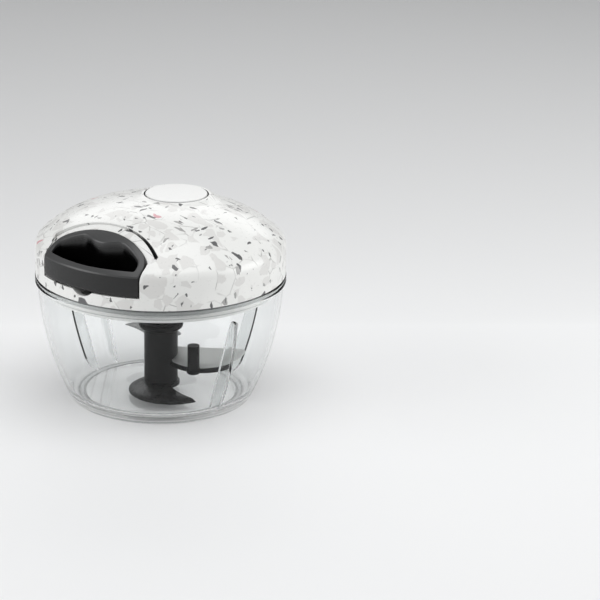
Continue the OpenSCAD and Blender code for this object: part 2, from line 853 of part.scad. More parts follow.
// The steel part of the upper blade, without the round root that the hub already fills
module upper_plan() {
    difference() {
        intersection() {
            disc_at(up_reach - up_lead_r, 0, up_lead_r);
            translate([0, -up_root_y]) square([up_reach + over, up_root_w]);
        }
        disc_at(trail_x, trail_r + trail_cut, trail_r);
    }
}

module middle_plan() {
    intersection() {
        disc_at(mid_lead[0], mid_lead[1], mid_lead_r);
        translate([0, -2 * mid_lead_r]) square([3 * mid_lead_r, 2 * mid_lead_r + mid_back]);
    }
}

// Arm under the middle blade's cutting edge, out from the hub
module arm_plan() {
    intersection() {
        difference() {
            disc_at(mid_lead[0], mid_lead[1], mid_lead_r + arm_out);
            disc_at(mid_lead[0], mid_lead[1], mid_lead_r + arm_out - arm_w);
        }
        translate([0, -2 * mid_lead_r]) square([arm_end, 2 * mid_lead_r - hub_r / 2]);
    }
    disc_at(peg_x, peg_y, peg_r + peg_pad);
}

// Frame of the middle blade: turned to its direction, then tilted about its length
module mid_frame() {
    translate([0, 0, mid_z]) rotate(mid_az) rotate([mid_tilt, 0, 0]) children();
}

// Upright frame at the peg's foot on the tilted arm
module peg_frame() {
    translate([0, 0, mid_z + peg_y * sin(mid_tilt)]) rotate(mid_az)
        translate([peg_x, peg_y * cos(mid_tilt), 0]) children();
}

module blade_slots() {
    mid_frame() translate([0, 0, -slot_gap]) linear_extrude(blade_t + 2 * slot_gap) middle_plan();
    translate([0, 0, up_z - slot_gap]) rotate(up_az) linear_extrude(blade_t + 2 * slot_gap) upper_plan();
}

module blade_hub() {
    edge = collar_t / 2;
    color("#1f1f1f") difference() {
        rotate_extrude() {
            band(0, hub_r, hub_z + over, collar_z);
            band(0, hub_r - over, hub_z, collar_z);
            disc_at(hub_r - over, hub_z + over, over);
            band(0, collar_r - edge, collar_z - edge, collar_z + edge);
            disc_at(collar_r - edge, collar_z, edge);
            band(0, neck_r, collar_z, neck_z);
        }
        cyl(pivot_r + run_gap, hub_z - over, pivot_z + 0.5);
        translate([0, 0, shaft_low - over]) rotate(low_az)
            cylinder(d = (hex_af + 2 * hex_gap) / cos(30), h = neck_z - shaft_low + 2 * over, $fn = 6);
        blade_slots();
    }
}

module lower_blade() {
    color("#262626") difference() {
        translate([0, 0, hub_z - low_t]) rotate(low_az) intersection() {
            linear_extrude(low_t) sickle_plan(low_reach, low_lead_r);
            union() {
                ground_disc(low_reach - low_lead_r, 0, low_lead_r, low_t);
                cylinder(r = root_r, h = low_t);
            }
        }
        cyl(pivot_r + run_gap, 0, hub_z + over);
    }
}

module middle_blade() {
    color("silver") difference() {
        mid_frame() intersection() {
            linear_extrude(blade_t) middle_plan();
            ground_disc(mid_lead[0], mid_lead[1], mid_lead_r, blade_t);
        }
        peg_frame() cyl(peg_r + peg_gap, -arm_t, peg_h);
    }
}

module upper_blade() {
    color("silver") translate([0, 0, up_z]) rotate(up_az) intersection() {
        linear_extrude(blade_t) upper_plan();
        ground_disc(up_reach - up_lead_r, 0, up_lead_r, blade_t);
    }
}

module stirring_arm() {
    color("#1f1f1f") difference() {
        union() {
            mid_frame() translate([0, 0, -arm_t]) linear_extrude(arm_t) arm_plan();
            peg_frame() cyl(peg_r, -arm_t / 2, peg_h);
        }
        cyl(hub_r + slot_gap, 0, collar_z);
    }
}

bowl();
pivot_pin();
lid_cover();
lid_base();
seal_ring();
top_cap();
cord_guide();
spring_arbor();
arbor_screws();
drive_bush();
thrust_washer();
lid_screws();
spool();
spring_cover();
spiral_spring();
cord_winding();
drive_shaft();
spool_screws();
pull_handle();
cord_knot();
cord_run();
blade_hub();
lower_blade();
middle_blade();
upper_blade();
stirring_arm();
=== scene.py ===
"""Looks of a pull-string food chopper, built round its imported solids.

Metres, +Z up, the origin at the centre of the foot, the handle pulls out along -Y.
"""
import math

import bpy
import numpy as np
from mathutils import Matrix, Vector


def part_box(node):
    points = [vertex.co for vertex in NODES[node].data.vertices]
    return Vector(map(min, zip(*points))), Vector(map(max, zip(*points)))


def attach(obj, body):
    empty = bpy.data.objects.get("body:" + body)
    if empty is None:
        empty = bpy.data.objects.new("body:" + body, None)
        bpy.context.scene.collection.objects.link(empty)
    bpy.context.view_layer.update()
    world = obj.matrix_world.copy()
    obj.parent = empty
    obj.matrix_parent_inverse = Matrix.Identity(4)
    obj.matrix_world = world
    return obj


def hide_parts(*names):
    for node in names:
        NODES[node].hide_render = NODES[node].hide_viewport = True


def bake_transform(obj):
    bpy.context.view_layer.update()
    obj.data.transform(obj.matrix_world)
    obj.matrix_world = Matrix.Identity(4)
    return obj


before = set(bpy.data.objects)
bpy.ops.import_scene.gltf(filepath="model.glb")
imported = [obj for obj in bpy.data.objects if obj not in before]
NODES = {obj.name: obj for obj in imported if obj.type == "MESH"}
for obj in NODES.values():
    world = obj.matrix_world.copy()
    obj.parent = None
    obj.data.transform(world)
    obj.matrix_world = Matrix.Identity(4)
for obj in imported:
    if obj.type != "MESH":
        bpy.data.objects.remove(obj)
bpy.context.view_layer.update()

bl_info = {
    "name": "Pull-string food chopper",
    "version": (1, 0, 0),
    "blender": (4, 5, 0),
    "location": "View3D > Sidebar > Chopper",
    "description": "Clear bowl, blade unit, speckled lid and pull handle of a hand chopper",
    "category": "Object",
}

MM = 0.001

# Lid and cap
SKIRT_H = 13.6 * MM
CROWN_R = 150 * MM
CROWN_SLOPE = math.radians(12.5)
SHOULDER_R = 6.8 * MM
SHOULDER_LAP = 0.05 * MM
CAP_GROOVE = 0.7 * MM
CAP_PLATE = 1.4 * MM
CAP_EDGE = 0.6 * MM
CAP_BOW = 0.15 * MM
CAP_STEM_R = 6 * MM

# Bowl
WALL_R = 149 * MM
WALL_UP = 2.5 * MM
BEAD_R = 1.1 * MM
BOWL_SOFT = 0.4 * MM
FLOOR_TOP = 3.0 * MM
FLOOR_FILLET = 10 * MM
FOOT_HOLLOW = 1.0 * MM
FOOT_W = 5.5 * MM
FOOT_R = 3 * MM
SEAT_R = 6 * MM
SEAT_TOP = 4.8 * MM
BORE_R = 3.02 * MM
BORE_END = 1.8 * MM

# Fins inside the bowl
FIN_AZIMUTHS = (-15, 65, 163, 183)
FIN_FOOT_R = 39 * MM
FIN_TOP_R = 57 * MM
FIN_TOP_Z = 52 * MM
FIN_NOSE_R = 2 * MM
FIN_SINK = 1 * MM
FIN_HALF = 1.0 * MM
FIN_ROUND = 0.9 * MM

# Handle, and the band of the lid behind it
BACK_R = 58.5 * MM
BAND_BACK = 5.5 * MM
BAND_SIDE = 2.8 * MM
GAP_MID = 0.5 * MM
GAP_END = 1.3 * MM
GRIP_MID = 55 * MM
GRIP_FAR = 60 * MM
GRIP_FRONT = 2.4 * MM
GRIP_FLOOR = 2.0 * MM
GRIP_UP = 6.5 * MM
GRIP_EDGE_OUT = 0.6 * MM
GRIP_EDGE_IN = 0.8 * MM
GRIP_EDGE_LOW = 1.6 * MM
GRIP_EDGE_UNDER = 0.5 * MM
BULGE_R = 13 * MM
BULGE_IN = 7.7 * MM
KNOT_ROOM = 0.3 * MM

# Cord, drum and eyelet
DRUM_R = 20 * MM
LAY_GAP = 0.3 * MM
CORD_TURNS = 3.5
CORD_PITCH = 2.4 * MM
EYE_LIP = 1.0 * MM
EYE_SET = 0.7 * MM
KNOT_STRAND = 0.8

# Smoothing of the solids that stay
WELD_GAP = 0.01 * MM
CREASE = math.radians(32)


# Sizes and colours


def linear(hex_colour, alpha=1.0):
    """sRGB hex value as linear RGBA."""
    srgb = np.array([int(hex_colour[i : i + 2], 16) / 255 for i in (1, 3, 5)])
    rgb = np.where(srgb <= 0.04045, srgb / 12.92, ((srgb + 0.055) / 1.055) ** 2.4)
    return (*rgb.tolist(), alpha)


def length(name, description, mm):
    """A length property whose default is given in millimetres."""
    return bpy.props.FloatProperty(
        name=name, description=description, default=mm * MM, min=0.0, precision=5,
        subtype="DISTANCE", unit="LENGTH",
    )


def tint(name, description, hex_colour):
    """A colour property whose default is an sRGB hex value."""
    return bpy.props.FloatVectorProperty(
        name=name, description=description, default=linear(hex_colour), size=4,
        min=0.0, max=1.0, subtype="COLOR",
    )


class ChopperSizes(bpy.types.PropertyGroup):
    """Sizes of the pieces that are drawn here."""

    rim_radius: length("Rim radius", "Outer radius of the bowl's rim", 62.6)
    rim_height: length("Rim height", "Height of the bowl's rim above the table", 64.7)
    bowl_wall: length("Bowl wall", "Wall thickness of the bowl", 2.0)
    lid_radius: length("Lid radius", "Outer radius of the lid's skirt", 62.4)
    lid_bottom: length("Lid bottom", "Height of the skirt's lower edge", 65.0)
    crown_height: length("Crown height", "Height of the dome above the skirt's lower edge", 36.6)
    handle_half_width: length("Handle half width", "Half the width of the pull handle", 28.5)
    handle_back: length("Handle back", "Distance of the handle's back edge from the axis", 40.6)
    handle_wall: length("Handle wall", "Thickness of the handle's walls", 3.2)
    cap_radius: length("Cap radius", "Radius of the top cap", 15.5)
    cord_thickness: length("Cord thickness", "Diameter of the pull cord", 1.8)


class ChopperColours(bpy.types.PropertyGroup):
    """Colours of the pieces and of the stage."""

    lid: tint("Lid", "Ground of the stone chip print", "#EEEEEB")
    chip_dark: tint("Dark chips", "Dark stone chips", "#5C5C5D")
    chip_grey: tint("Grey chips", "Grey stone chips", "#A6A5A3")
    chip_pale: tint("Pale chips", "Pale stone chips", "#DFDEDB")
    vein: tint("Veins", "Hairlines between the chips", "#C2C1BE")
    chip_rose: tint("Rose chips", "The few reddish chips", "#D7A0A6")
    cap: tint("Cap", "Top cap", "#ECECEA")
    handle: tint("Handle", "Pull handle", "#101010")
    # Painted highlight: the rim's top is drawn lighter than the handle for the light from above, and the
    # recess near black as painted shade inside it; the handle is one black plastic
    grip_rim_painted_highlight: tint("Grip rim", "Top of the handle's rim, polished by use", "#3E3E3E")
    recess: tint("Recess", "Polished finger recess of the handle", "#020202")
    nylon: tint("Nylon", "Hub and stirring arm", "#060606")
    blade_coat: tint("Blade coating", "Coating of the lower blade", "#090909")
    steel: tint("Steel", "Ground stainless steel", "#E2E3E2")
    # Painted shade: the upper blade is the same ground steel as the middle one, drawn darker for the shade
    # under the collar
    steel_painted_shade: tint("Upper blade", "Steel of the blade under the collar", "#8E8F8E")
    white_abs: tint("White ABS", "Lid base, spool and shaft", "#ECECEA")
    silicone: tint("Seal", "Silicone ring", "#CDCFCE")
    acetal: tint("Acetal", "Guide, arbor and bush", "#E4E3DD")
    spring: tint("Spring", "Recoil spring", "#9DA3AA")
    zinc: tint("Zinc", "Screws, washer and pin", "#C9CAC8")
    cord: tint("Cord", "Braided pull cord", "#1A1A1A")
    bowl: tint("Bowl", "Clear bowl", "#FBFCFC")
    # Painted shade: dark lines for the shadow where the foot's ring meets the table, at the rim's top under
    # the lid and under the rim's bead; the bowl is one clear plastic
    bowl_painted_shade: tint("Bowl edges", "Scuffed contact ring and rim edge of the bowl", "#6C6E6E")
    # Painted shade: the fins are the same clear plastic as the wall, drawn greyer
    bowl_fin_painted_shade: tint("Bowl fins", "Drawn faces of the fins inside the bowl", "#EBEDED")
    groove: tint("Grooves", "Shadowed gaps round the cap and behind the handle", "#2C2C2C")
    daylight: tint("Room light", "Light from all round", "#F2F4F6")
    floor: tint("Floor", "Near part of the stage", "#F0F0F0")
    # Painted shade: the far floor and the wall take this darker colour, for the light falling off towards the
    # back
    wall: tint("Wall", "Far part of the stage", "#BDBDBD")


# Surfaces


def arc(cx, cy, r, start, stop, n):
    """n points on a circle about (cx, cy), from one angle to another in degrees."""
    a = np.radians(np.linspace(start, stop, n))
    return np.column_stack([cx + r * np.cos(a), cy + r * np.sin(a)])


def revolve(profile, segments):
    """A profile of (radius, height) turned about Z: point (r cos a, r sin a, z) for each angle a."""
    a = np.linspace(0, 2 * np.pi, segments, endpoint=False)
    r, z = profile[:, :1], profile[:, 1:]
    return np.stack([r * np.cos(a), r * np.sin(a), z + 0 * a], axis=-1)


def skin(rings, ends):
    """Vertices and faces of a grid whose rows are closed rings.

    ends "open" leaves the first and last ring open, "poles" closes each with a fan to its middle,
    and "loop" joins the last ring to the first.
    """
    n, m, _ = rings.shape
    verts = rings.reshape(-1, 3)
    i, j = np.meshgrid(np.arange(n if ends == "loop" else n - 1), np.arange(m), indexing="ij")
    up, side = (i + 1) % n, (j + 1) % m
    quads = np.stack([i * m + j, i * m + side, up * m + side, up * m + j], axis=-1).reshape(-1, 4)
    faces = quads.tolist()
    if ends == "poles":
        k = np.arange(m)
        nxt = (k + 1) % m
        low, high = n * m, n * m + 1
        verts = np.vstack([verts, rings[0].mean(0), rings[-1].mean(0)])
        faces += np.column_stack([nxt, k, np.full(m, low)]).tolist()
        top = (n - 1) * m
        faces += np.column_stack([top + k, top + nxt, np.full(m, high)]).tolist()
    return verts, faces


def signed_volume(verts, faces):
    """Six times the volume that the faces enclose, above zero if they point outwards."""
    tris = np.array([[f[0], f[k], f[k + 1]] for f in faces for k in range(1, len(f) - 1)])
    a, b, c = verts[tris[:, 0]], verts[tris[:, 1]], verts[tris[:, 2]]
    return float(np.einsum("ij,ij->i", a, np.cross(b, c)).sum())


def mesh_object(name, verts, faces, sharp=40.0, closed=True):
    """An object at the origin with those faces, pointing outwards, smooth up to the sharp angle."""
    if closed and signed_volume(verts, faces) < 0:
        faces = [f[::-1] for f in faces]
    mesh = bpy.data.meshes.new(name)
    mesh.from_pydata(verts.tolist(), [], faces)
    mesh.shade_smooth()
    mesh.set_sharp_from_angle(angle=math.radians(sharp))
    mesh.update()
    obj = bpy.data.objects.new(name, mesh)
    bpy.context.scene.collection.objects.link(obj)
    return obj


def tube(name, path, radius, sides):
    """A round tube along a path: ring points at path + radius (cos t side + sin t up), with a UV map
    that counts turns round the tube and tube diameters along it."""
    ahead = np.gradient(path, axis=0)
    ahead /= np.linalg.norm(ahead, axis=1, keepdims=True)
    side = np.cross(ahead, [0.0, 0.0, 1.0])
    side /= np.linalg.norm(side, axis=1, keepdims=True)
    up = np.cross(side, ahead)
    t = np.linspace(0, 2 * np.pi, sides, endpoint=False)
    cos, sin = np.cos(t)[None, :, None], np.sin(t)[None, :, None]
    rings = path[:, None] + radius * (cos * side[:, None] + sin * up[:, None])
    verts, faces = skin(rings, "poles")
    obj = mesh_object(name, verts, faces, sharp=60)
    run = np.concatenate([[0], np.cumsum(np.linalg.norm(np.diff(path, axis=0), axis=1))]) / (2 * radius)
    mesh = obj.data
    loops = np.zeros(len(mesh.loops), int)
    mesh.loops.foreach_get("vertex_index", loops)
    ring = np.minimum(loops // sides, len(path) - 1)
    place_on = np.column_stack([(loops % sides) / sides * 3, run[ring]])
    layer = mesh.uv_layers.new(name="along")
    layer.data.foreach_set("uv", place_on.astype(np.float32).ravel())
    return obj


def combined(name, base, cutters, operation, sharp=40.0):
    """The base with each cutter joined to it or cut from it, as one new mesh under that name."""
    for k, cutter in enumerate(cutters):
        mod = base.modifiers.new(f"part{k}", "BOOLEAN")
        mod.operation = operation
        mod.solver = "EXACT"
        mod.object = cutter
    bpy.context.view_layer.update()
    evaluated = base.evaluated_get(bpy.context.evaluated_depsgraph_get())
    mesh = bpy.data.meshes.new_from_object(evaluated)
    mesh.name = name
    mesh.shade_smooth()
    mesh.set_sharp_from_angle(angle=math.radians(sharp))
    for old in (base, *cutters):
        bpy.data.objects.remove(old)
    obj = bpy.data.objects.new(name, mesh)
    bpy.context.scene.collection.objects.link(obj)
    return obj


def place(obj, material, body, slot, *nodes):
    """Gives a piece its material and its body, and hides the solids that it stands for. The slot is not used.
    """
    obj.data.materials.clear()
    obj.data.materials.append(material)
    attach(obj, body)
    if nodes:
        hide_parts(*nodes)
    return obj


def dress(material, *nodes):
    """Gives solids that stay a material, and smooths their curved faces without changing them."""
    for name in nodes:
        obj = NODES[name]
        obj.data.materials.clear()
        obj.data.materials.append(material)
        obj.data.shade_smooth()
        weld = obj.modifiers.new("weld", "WELD")
        weld.merge_threshold = WELD_GAP
        split = obj.modifiers.new("edges", "EDGE_SPLIT")
        split.split_angle = CREASE


# Outlines


def wall_centre(s):
    """Radius and height of the centre of the arc that the bowl's outer wall follows."""
    return s.rim_radius - BEAD_R - WALL_R, s.rim_height + WALL_UP


def wall_angle(r, z, s):
    """Angle in degrees, about the wall's centre, of the point at height z on a circle of radius r."""
    return math.degrees(math.asin((z - wall_centre(s)[1]) / r))


def bowl_profile(s):
    """Section of the bowl from under its floor, round the foot, up the wall and down inside to the seat.

    The foot's arc touches the wall's outer arc and the floor's fillet touches its inner one, so their
    centres lie on smaller circles about the wall's centre.
    """
    cx, cz = wall_centre(s)
    soft = BOWL_SOFT
    inner_r = WALL_R - s.bowl_wall
    foot_x = cx + math.sqrt((WALL_R - FOOT_R) ** 2 - (cz - FOOT_R) ** 2)
    foot_in = foot_x - FOOT_W
    foot_touch = math.degrees(math.atan2(FOOT_R - cz, foot_x - cx))
    fill_z = FLOOR_TOP + FLOOR_FILLET
    fill_x = cx + math.sqrt((inner_r - FLOOR_FILLET) ** 2 - (cz - fill_z) ** 2)
    fill_touch = math.degrees(math.atan2(fill_z - cz, fill_x - cx))
    bead_x = s.rim_radius - BEAD_R
    bead_low = s.rim_height - 4 * BEAD_R
    return np.vstack([
        [[2 * MM, FOOT_HOLLOW], [12 * MM, FOOT_HOLLOW], [foot_in - soft, FOOT_HOLLOW]],
        arc(foot_in - soft, FOOT_HOLLOW - soft, soft, 90, 0, 5),
        arc(foot_in + soft, soft, soft, 180, 270, 5),
        arc(foot_x, FOOT_R, FOOT_R, -90, foot_touch, 14),
        arc(cx, cz, WALL_R, foot_touch, wall_angle(WALL_R, bead_low, s), 48)[1:],
        arc(bead_x, bead_low + BEAD_R, BEAD_R, -90, 60, 12),
        arc(bead_x, bead_low + 3 * BEAD_R, BEAD_R, -60, 90, 12),
        arc(cx + inner_r + soft, s.rim_height - soft, soft, 90, 180, 5),
        arc(cx, cz, inner_r, wall_angle(inner_r, s.rim_height - soft, s), fill_touch, 48)[1:],
        arc(fill_x, fill_z, FLOOR_FILLET, fill_touch, -90, 20)[1:],
        [[24 * MM, FLOOR_TOP], [SEAT_R + soft, FLOOR_TOP]],
        arc(SEAT_R + soft, FLOOR_TOP + soft, soft, 270, 180, 5)[1:],
        arc(SEAT_R - soft, SEAT_TOP - soft, soft, 0, 90, 5),
        [[BORE_R, SEAT_TOP], [BORE_R, BORE_END]],
    ])


def fin_rings(azimuth, s):
    """Grid of one fin: its outline in the plane of an azimuth, drawn in by an ellipse towards both faces."""
    cx, cz = wall_centre(s)
    high, low = wall_angle(WALL_R, FIN_TOP_Z + 1.5 * MM, s), wall_angle(WALL_R, FLOOR_TOP + 1 * MM, s)
    outline = np.vstack([
        [[FIN_FOOT_R, FLOOR_TOP - FIN_SINK], [FIN_FOOT_R + 0.4 * MM, FLOOR_TOP + 0.2 * MM]],
        arc(FIN_TOP_R, FIN_TOP_Z, FIN_NOSE_R, 162, 80, 10),
        arc(cx, cz, WALL_R - FIN_SINK, high, low, 30),
    ])
    share = -np.cos(np.linspace(0, np.pi, 7))
    draw_in = FIN_ROUND * (1 - np.sqrt(1 - share**2 * 0.999))
    inward = outline.mean(0) - outline
    inward /= np.linalg.norm(inward, axis=1, keepdims=True)
    flat = outline[None] + draw_in[:, None, None] * inward[None]
    r, z = flat[..., 0], flat[..., 1]
    t = FIN_HALF * share[:, None] + 0 * r
    a = math.radians(azimuth)
    return np.stack([r * math.cos(a) - t * math.sin(a), r * math.sin(a) + t * math.cos(a), z], axis=-1)


def grip_height(r, s):
    """Height of the handle's top at radius r: the arc of the lid's flank, run on to the front.

    The flank touches the crown's arc at the crown's slope, so its centre lies on that line from the
    crown's centre, as far along it as makes the flank touch the lid's shoulder too.
    """
    shoulder_x = s.lid_radius - SHOULDER_R
    crown_z = s.lid_bottom + s.crown_height - CROWN_R
    up = s.lid_bottom + SKIRT_H - crown_z
    inner = CROWN_R - SHOULDER_R + SHOULDER_LAP
    sin, cos = math.sin(CROWN_SLOPE), math.cos(CROWN_SLOPE)
    off = (inner**2 - shoulder_x**2 - up**2) / (2 * (inner - shoulder_x * sin - up * cos))
    return crown_z + off * cos + np.sqrt((CROWN_R - off) ** 2 - (r - off * sin) ** 2)


def round_meet(a, b, r):
    """Field of the overlap of two fields that are below zero inside, its corner rounded by r."""
    return np.minimum(-r, np.maximum(a, b)) + np.hypot(np.maximum(a + r, 0), np.maximum(b + r, 0))


def outer_field(x, y, s):
    """Below zero inside the handle's plan; y is the distance from the lid's axis, on its side."""
    back = np.hypot(x, y - s.handle_back - BACK_R) - BACK_R
    sides = np.abs(x) - s.handle_half_width
    front = np.hypot(x, y) - s.lid_radius
    return round_meet(round_meet(back, sides, 4 * MM), front, 0.6 * MM)


def recess_field(x, y, s):
    """Below zero inside the finger recess: the plan less its walls and the bulge that takes the cord."""
    wall = s.handle_wall
    back = np.hypot(x, y - s.handle_back - BACK_R) - BACK_R + wall
    sides = np.abs(x) - s.handle_half_width + wall
    front = np.hypot(x, y) - s.lid_radius + GRIP_FRONT
    bulge = BULGE_R - np.hypot(x, y - s.handle_back - BULGE_IN + BULGE_R)
    hollow = round_meet(round_meet(back, sides, 2.4 * MM), front, 0.9 * MM)
    return round_meet(hollow, bulge, 3.2 * MM)


def reach(field, centre, angles, s, far):
    """Distance from a centre at which a field turns positive, along each angle, by halving."""
    low, high = np.zeros_like(angles), np.full_like(angles, far)
    for _ in range(40):
        mid = (low + high) / 2
        inside = field(centre[0] + mid * np.sin(angles), centre[1] + mid * np.cos(angles), s) < 0
        low, high = np.where(inside, mid, low), np.where(inside, high, mid)
    return low


def even_angles(field, centre, s, far, n):
    """Angles about a centre that step evenly along a field's outline."""
    a = np.linspace(0, 2 * np.pi, 4001)
    r = reach(field, centre, a, s, far)
    step = np.hypot(np.diff(r * np.sin(a)), np.diff(r * np.cos(a)))
    run = np.concatenate([[0], np.cumsum(step)])
    return np.interp(np.linspace(0, run[-1], n, endpoint=False), run, a)


def edge_dip(d, e):
    """How far a quarter round of radius e lies below a flat top at distance d from its side."""
    return e - np.sqrt(np.maximum(e**2 - (e - np.minimum(d, e)) ** 2, 0))


def grip_rows(s):
    """Rows of the handle's skin, each a closed outline in plan with its heights.

    They run from the middle of the underside out to the wall, up it to the dome's flank, across the rim
    with both its edges rounded, down the recess's wall and in over its floor. The numbers of the first
    row on the rim and the first in the recess come with them.
    """
    bottom = s.lid_bottom + GRIP_UP
    floor = bottom + GRIP_FLOOR
    centre = np.array([0.0, GRIP_MID])
    a = even_angles(recess_field, centre, s, GRIP_FAR, 360)
    way = np.column_stack([np.sin(a), np.cos(a)])
    inner = centre + reach(recess_field, centre, a, s, GRIP_FAR)[:, None] * way
    outer = centre + reach(outer_field, centre, a, s, GRIP_FAR)[:, None] * way
    span = np.linalg.norm(outer - inner, axis=1)
    unit = (inner - outer) / span[:, None]
    rows = []

    def top(plan):
        return grip_height(np.hypot(plan[:, 0], plan[:, 1]), s)

    def row(plan, height):
        rows.append(np.column_stack([plan[:, 0], -plan[:, 1], height + 0 * plan[:, 0]]))

    for f in (0.02, 0.5, 0.9):
        row(centre + (outer - centre) * f, bottom)
    row(outer + GRIP_EDGE_UNDER * unit, bottom)
    foot = bottom + GRIP_EDGE_UNDER
    row(outer, foot)
    crest = top(outer) - GRIP_EDGE_OUT
    for f in np.linspace(0.2, 1, 6):
        row(outer, foot + (crest - foot) * f)
    rim_from = len(rows)
    fold = 1 - np.cos(np.radians(np.linspace(0, 90, 7)))
    flat_out, flat_in = GRIP_EDGE_OUT * 1.02, GRIP_EDGE_IN * 1.02
    across = [GRIP_EDGE_OUT * f + 0 * span for f in fold[1:]]
    across += [flat_out + (span - flat_out - flat_in) * f for f in np.linspace(0, 1, 8)]
    across += [span - GRIP_EDGE_IN * f for f in fold[::-1][1:]]
    for d in across:
        plan = outer + d[:, None] * unit
        row(plan, top(plan) - edge_dip(d, GRIP_EDGE_OUT) - edge_dip(span - d, GRIP_EDGE_IN))
    recess_from = len(rows)
    lip, low = top(inner) - GRIP_EDGE_IN, floor + GRIP_EDGE_LOW
    for f in np.linspace(0, 1, 6)[1:]:
        row(inner, lip + (low - lip) * f)
    for f in np.radians(np.linspace(0, 90, 6))[1:]:
        plan = inner + (1 - np.cos(f)) * GRIP_EDGE_LOW * unit
        row(plan, floor + GRIP_EDGE_LOW * (1 - np.sin(f)))
    for f in (0.8, 0.5, 0.2, 0.05):
        row(centre + (inner + GRIP_EDGE_LOW * unit - centre) * f, floor)
    return np.array(rows), rim_from, recess_from


# Materials


def add(tree, kind, inputs=(), **settings):
    """One node with its settings, and its inputs set to a value or linked to a socket."""
    node = tree.nodes.new(kind)
    for key, value in settings.items():
        setattr(node, key, value)
    for key, value in dict(inputs).items():
        if isinstance(value, bpy.types.NodeSocket):
            tree.links.new(value, node.inputs[key])
        else:
            node.inputs[key].default_value = value
    return node


def material(name, inputs):
    """A new material with one Principled shader, and its node tree, shader and object coordinates."""
    mat = bpy.data.materials.new(name)
    mat.use_nodes = True
    tree = mat.node_tree
    tree.nodes.clear()
    shader = add(tree, "ShaderNodeBsdfPrincipled", inputs)
    add(tree, "ShaderNodeOutputMaterial", {"Surface": shader.outputs["BSDF"]})
    place_on = add(tree, "ShaderNodeTexCoord").outputs["Object"]
    return mat, tree, shader, place_on


def per_metre(size_mm):
    """Texture scale at which one cell of a pattern is that many millimetres wide."""
    return 1 / (size_mm * MM)


def within(tree, value, low, high, soft):
    """Mask that is 1 while a value lies between two bounds and fades out over a soft width beyond them."""
    rise = add(tree, "ShaderNodeMapRange", {"Value": value, "From Min": low - soft, "From Max": low})
    fall = add(tree, "ShaderNodeMapRange", {"Value": value, "From Min": high, "From Max": high + soft,
                                            "To Min": 1.0, "To Max": 0.0})
    return add(tree, "ShaderNodeMath", {0: rise.outputs["Result"], 1: fall.outputs["Result"]},
               operation="MULTIPLY").outputs[0]


def plan_distance(tree, where, spot):
    """Distance of a point from an upright line through a spot of the plan."""
    flat = add(tree, "ShaderNodeVectorMath", {0: where, 1: (1, 1, 0)}, operation="MULTIPLY")
    apart = add(tree, "ShaderNodeVectorMath", {0: flat.outputs[0], 1: (*spot, 0)}, operation="DISTANCE")
    return apart.outputs["Value"]


def roughen(tree, shader, where, size_mm, height_mm, low, high):
    """Fine relief of a real height, and a roughness that wanders between two values with it."""
    noise = add(tree, "ShaderNodeTexNoise", {"Vector": where, "Scale": per_metre(size_mm), "Detail": 3.0})
    bump = add(tree, "ShaderNodeBump", {"Height": noise.outputs["Fac"], "Distance": height_mm * MM})
    rough = add(tree, "ShaderNodeMapRange", {"Value": noise.outputs["Fac"], "From Min": 0.3,
                                             "From Max": 0.7, "To Min": low, "To Max": high})
    tree.links.new(bump.outputs["Normal"], shader.inputs["Normal"])
    tree.links.new(rough.outputs["Result"], shader.inputs["Roughness"])


def chip_layer(tree, where, size_mm, stretch, turn, share, margin):
    """Mask of broken stone: a share of the cells of a stretched Voronoi, each shrunk by a margin."""
    wobble = add(tree, "ShaderNodeTexNoise", {"Vector": where, "Scale": per_metre(size_mm * 0.8),
                                              "Detail": 2.0})
    offset = add(tree, "ShaderNodeVectorMath", {0: wobble.outputs["Color"], 1: (0.5, 0.5, 0.5)},
                 operation="SUBTRACT")
    moved = add(tree, "ShaderNodeVectorMath", {0: offset.outputs[0], 1: (0.35 * size_mm * MM,) * 3, 2: where},
                operation="MULTIPLY_ADD")
    turned = add(tree, "ShaderNodeMapping", {"Vector": moved.outputs[0], "Rotation": turn, "Scale": stretch})
    cell = {"Vector": turned.outputs["Vector"], "Scale": per_metre(size_mm)}
    pick = add(tree, "ShaderNodeTexVoronoi", cell, feature="F1")
    edge = add(tree, "ShaderNodeTexVoronoi", cell, feature="DISTANCE_TO_EDGE")
    draw = add(tree, "ShaderNodeSeparateColor", {"Color": pick.outputs["Color"]})
    chosen = add(tree, "ShaderNodeMath", {0: draw.outputs["Red"], 1: share}, operation="LESS_THAN")
    inside = add(tree, "ShaderNodeMapRange", {"Value": edge.outputs["Distance"], "From Min": margin,
                                              "From Max": margin + 0.05})
    return add(tree, "ShaderNodeMath", {0: chosen.outputs[0], 1: inside.outputs["Result"]},
               operation="MULTIPLY").outputs[0]


def vein_layer(tree, where, size_mm, stretch, turn, width):
    """Mask of hairlines between shards: the cell borders of a stretched Voronoi, broken up by noise."""
    turned = add(tree, "ShaderNodeMapping", {"Vector": where, "Rotation": turn, "Scale": stretch})
    cell = {"Vector": turned.outputs["Vector"], "Scale": per_metre(size_mm)}
    edge = add(tree, "ShaderNodeTexVoronoi", cell, feature="DISTANCE_TO_EDGE")
    line = add(tree, "ShaderNodeMapRange", {"Value": edge.outputs["Distance"], "From Min": width,
                                            "From Max": width * 2, "To Min": 1.0, "To Max": 0.0})
    patches = add(tree, "ShaderNodeTexNoise", {"Vector": where, "Scale": per_metre(size_mm), "Detail": 2.0})
    shown = add(tree, "ShaderNodeMapRange", {"Value": patches.outputs["Fac"], "From Min": 0.5,
                                             "From Max": 0.62})
    return add(tree, "ShaderNodeMath", {0: line.outputs["Result"], 1: shown.outputs["Result"]},
               operation="MULTIPLY").outputs[0]


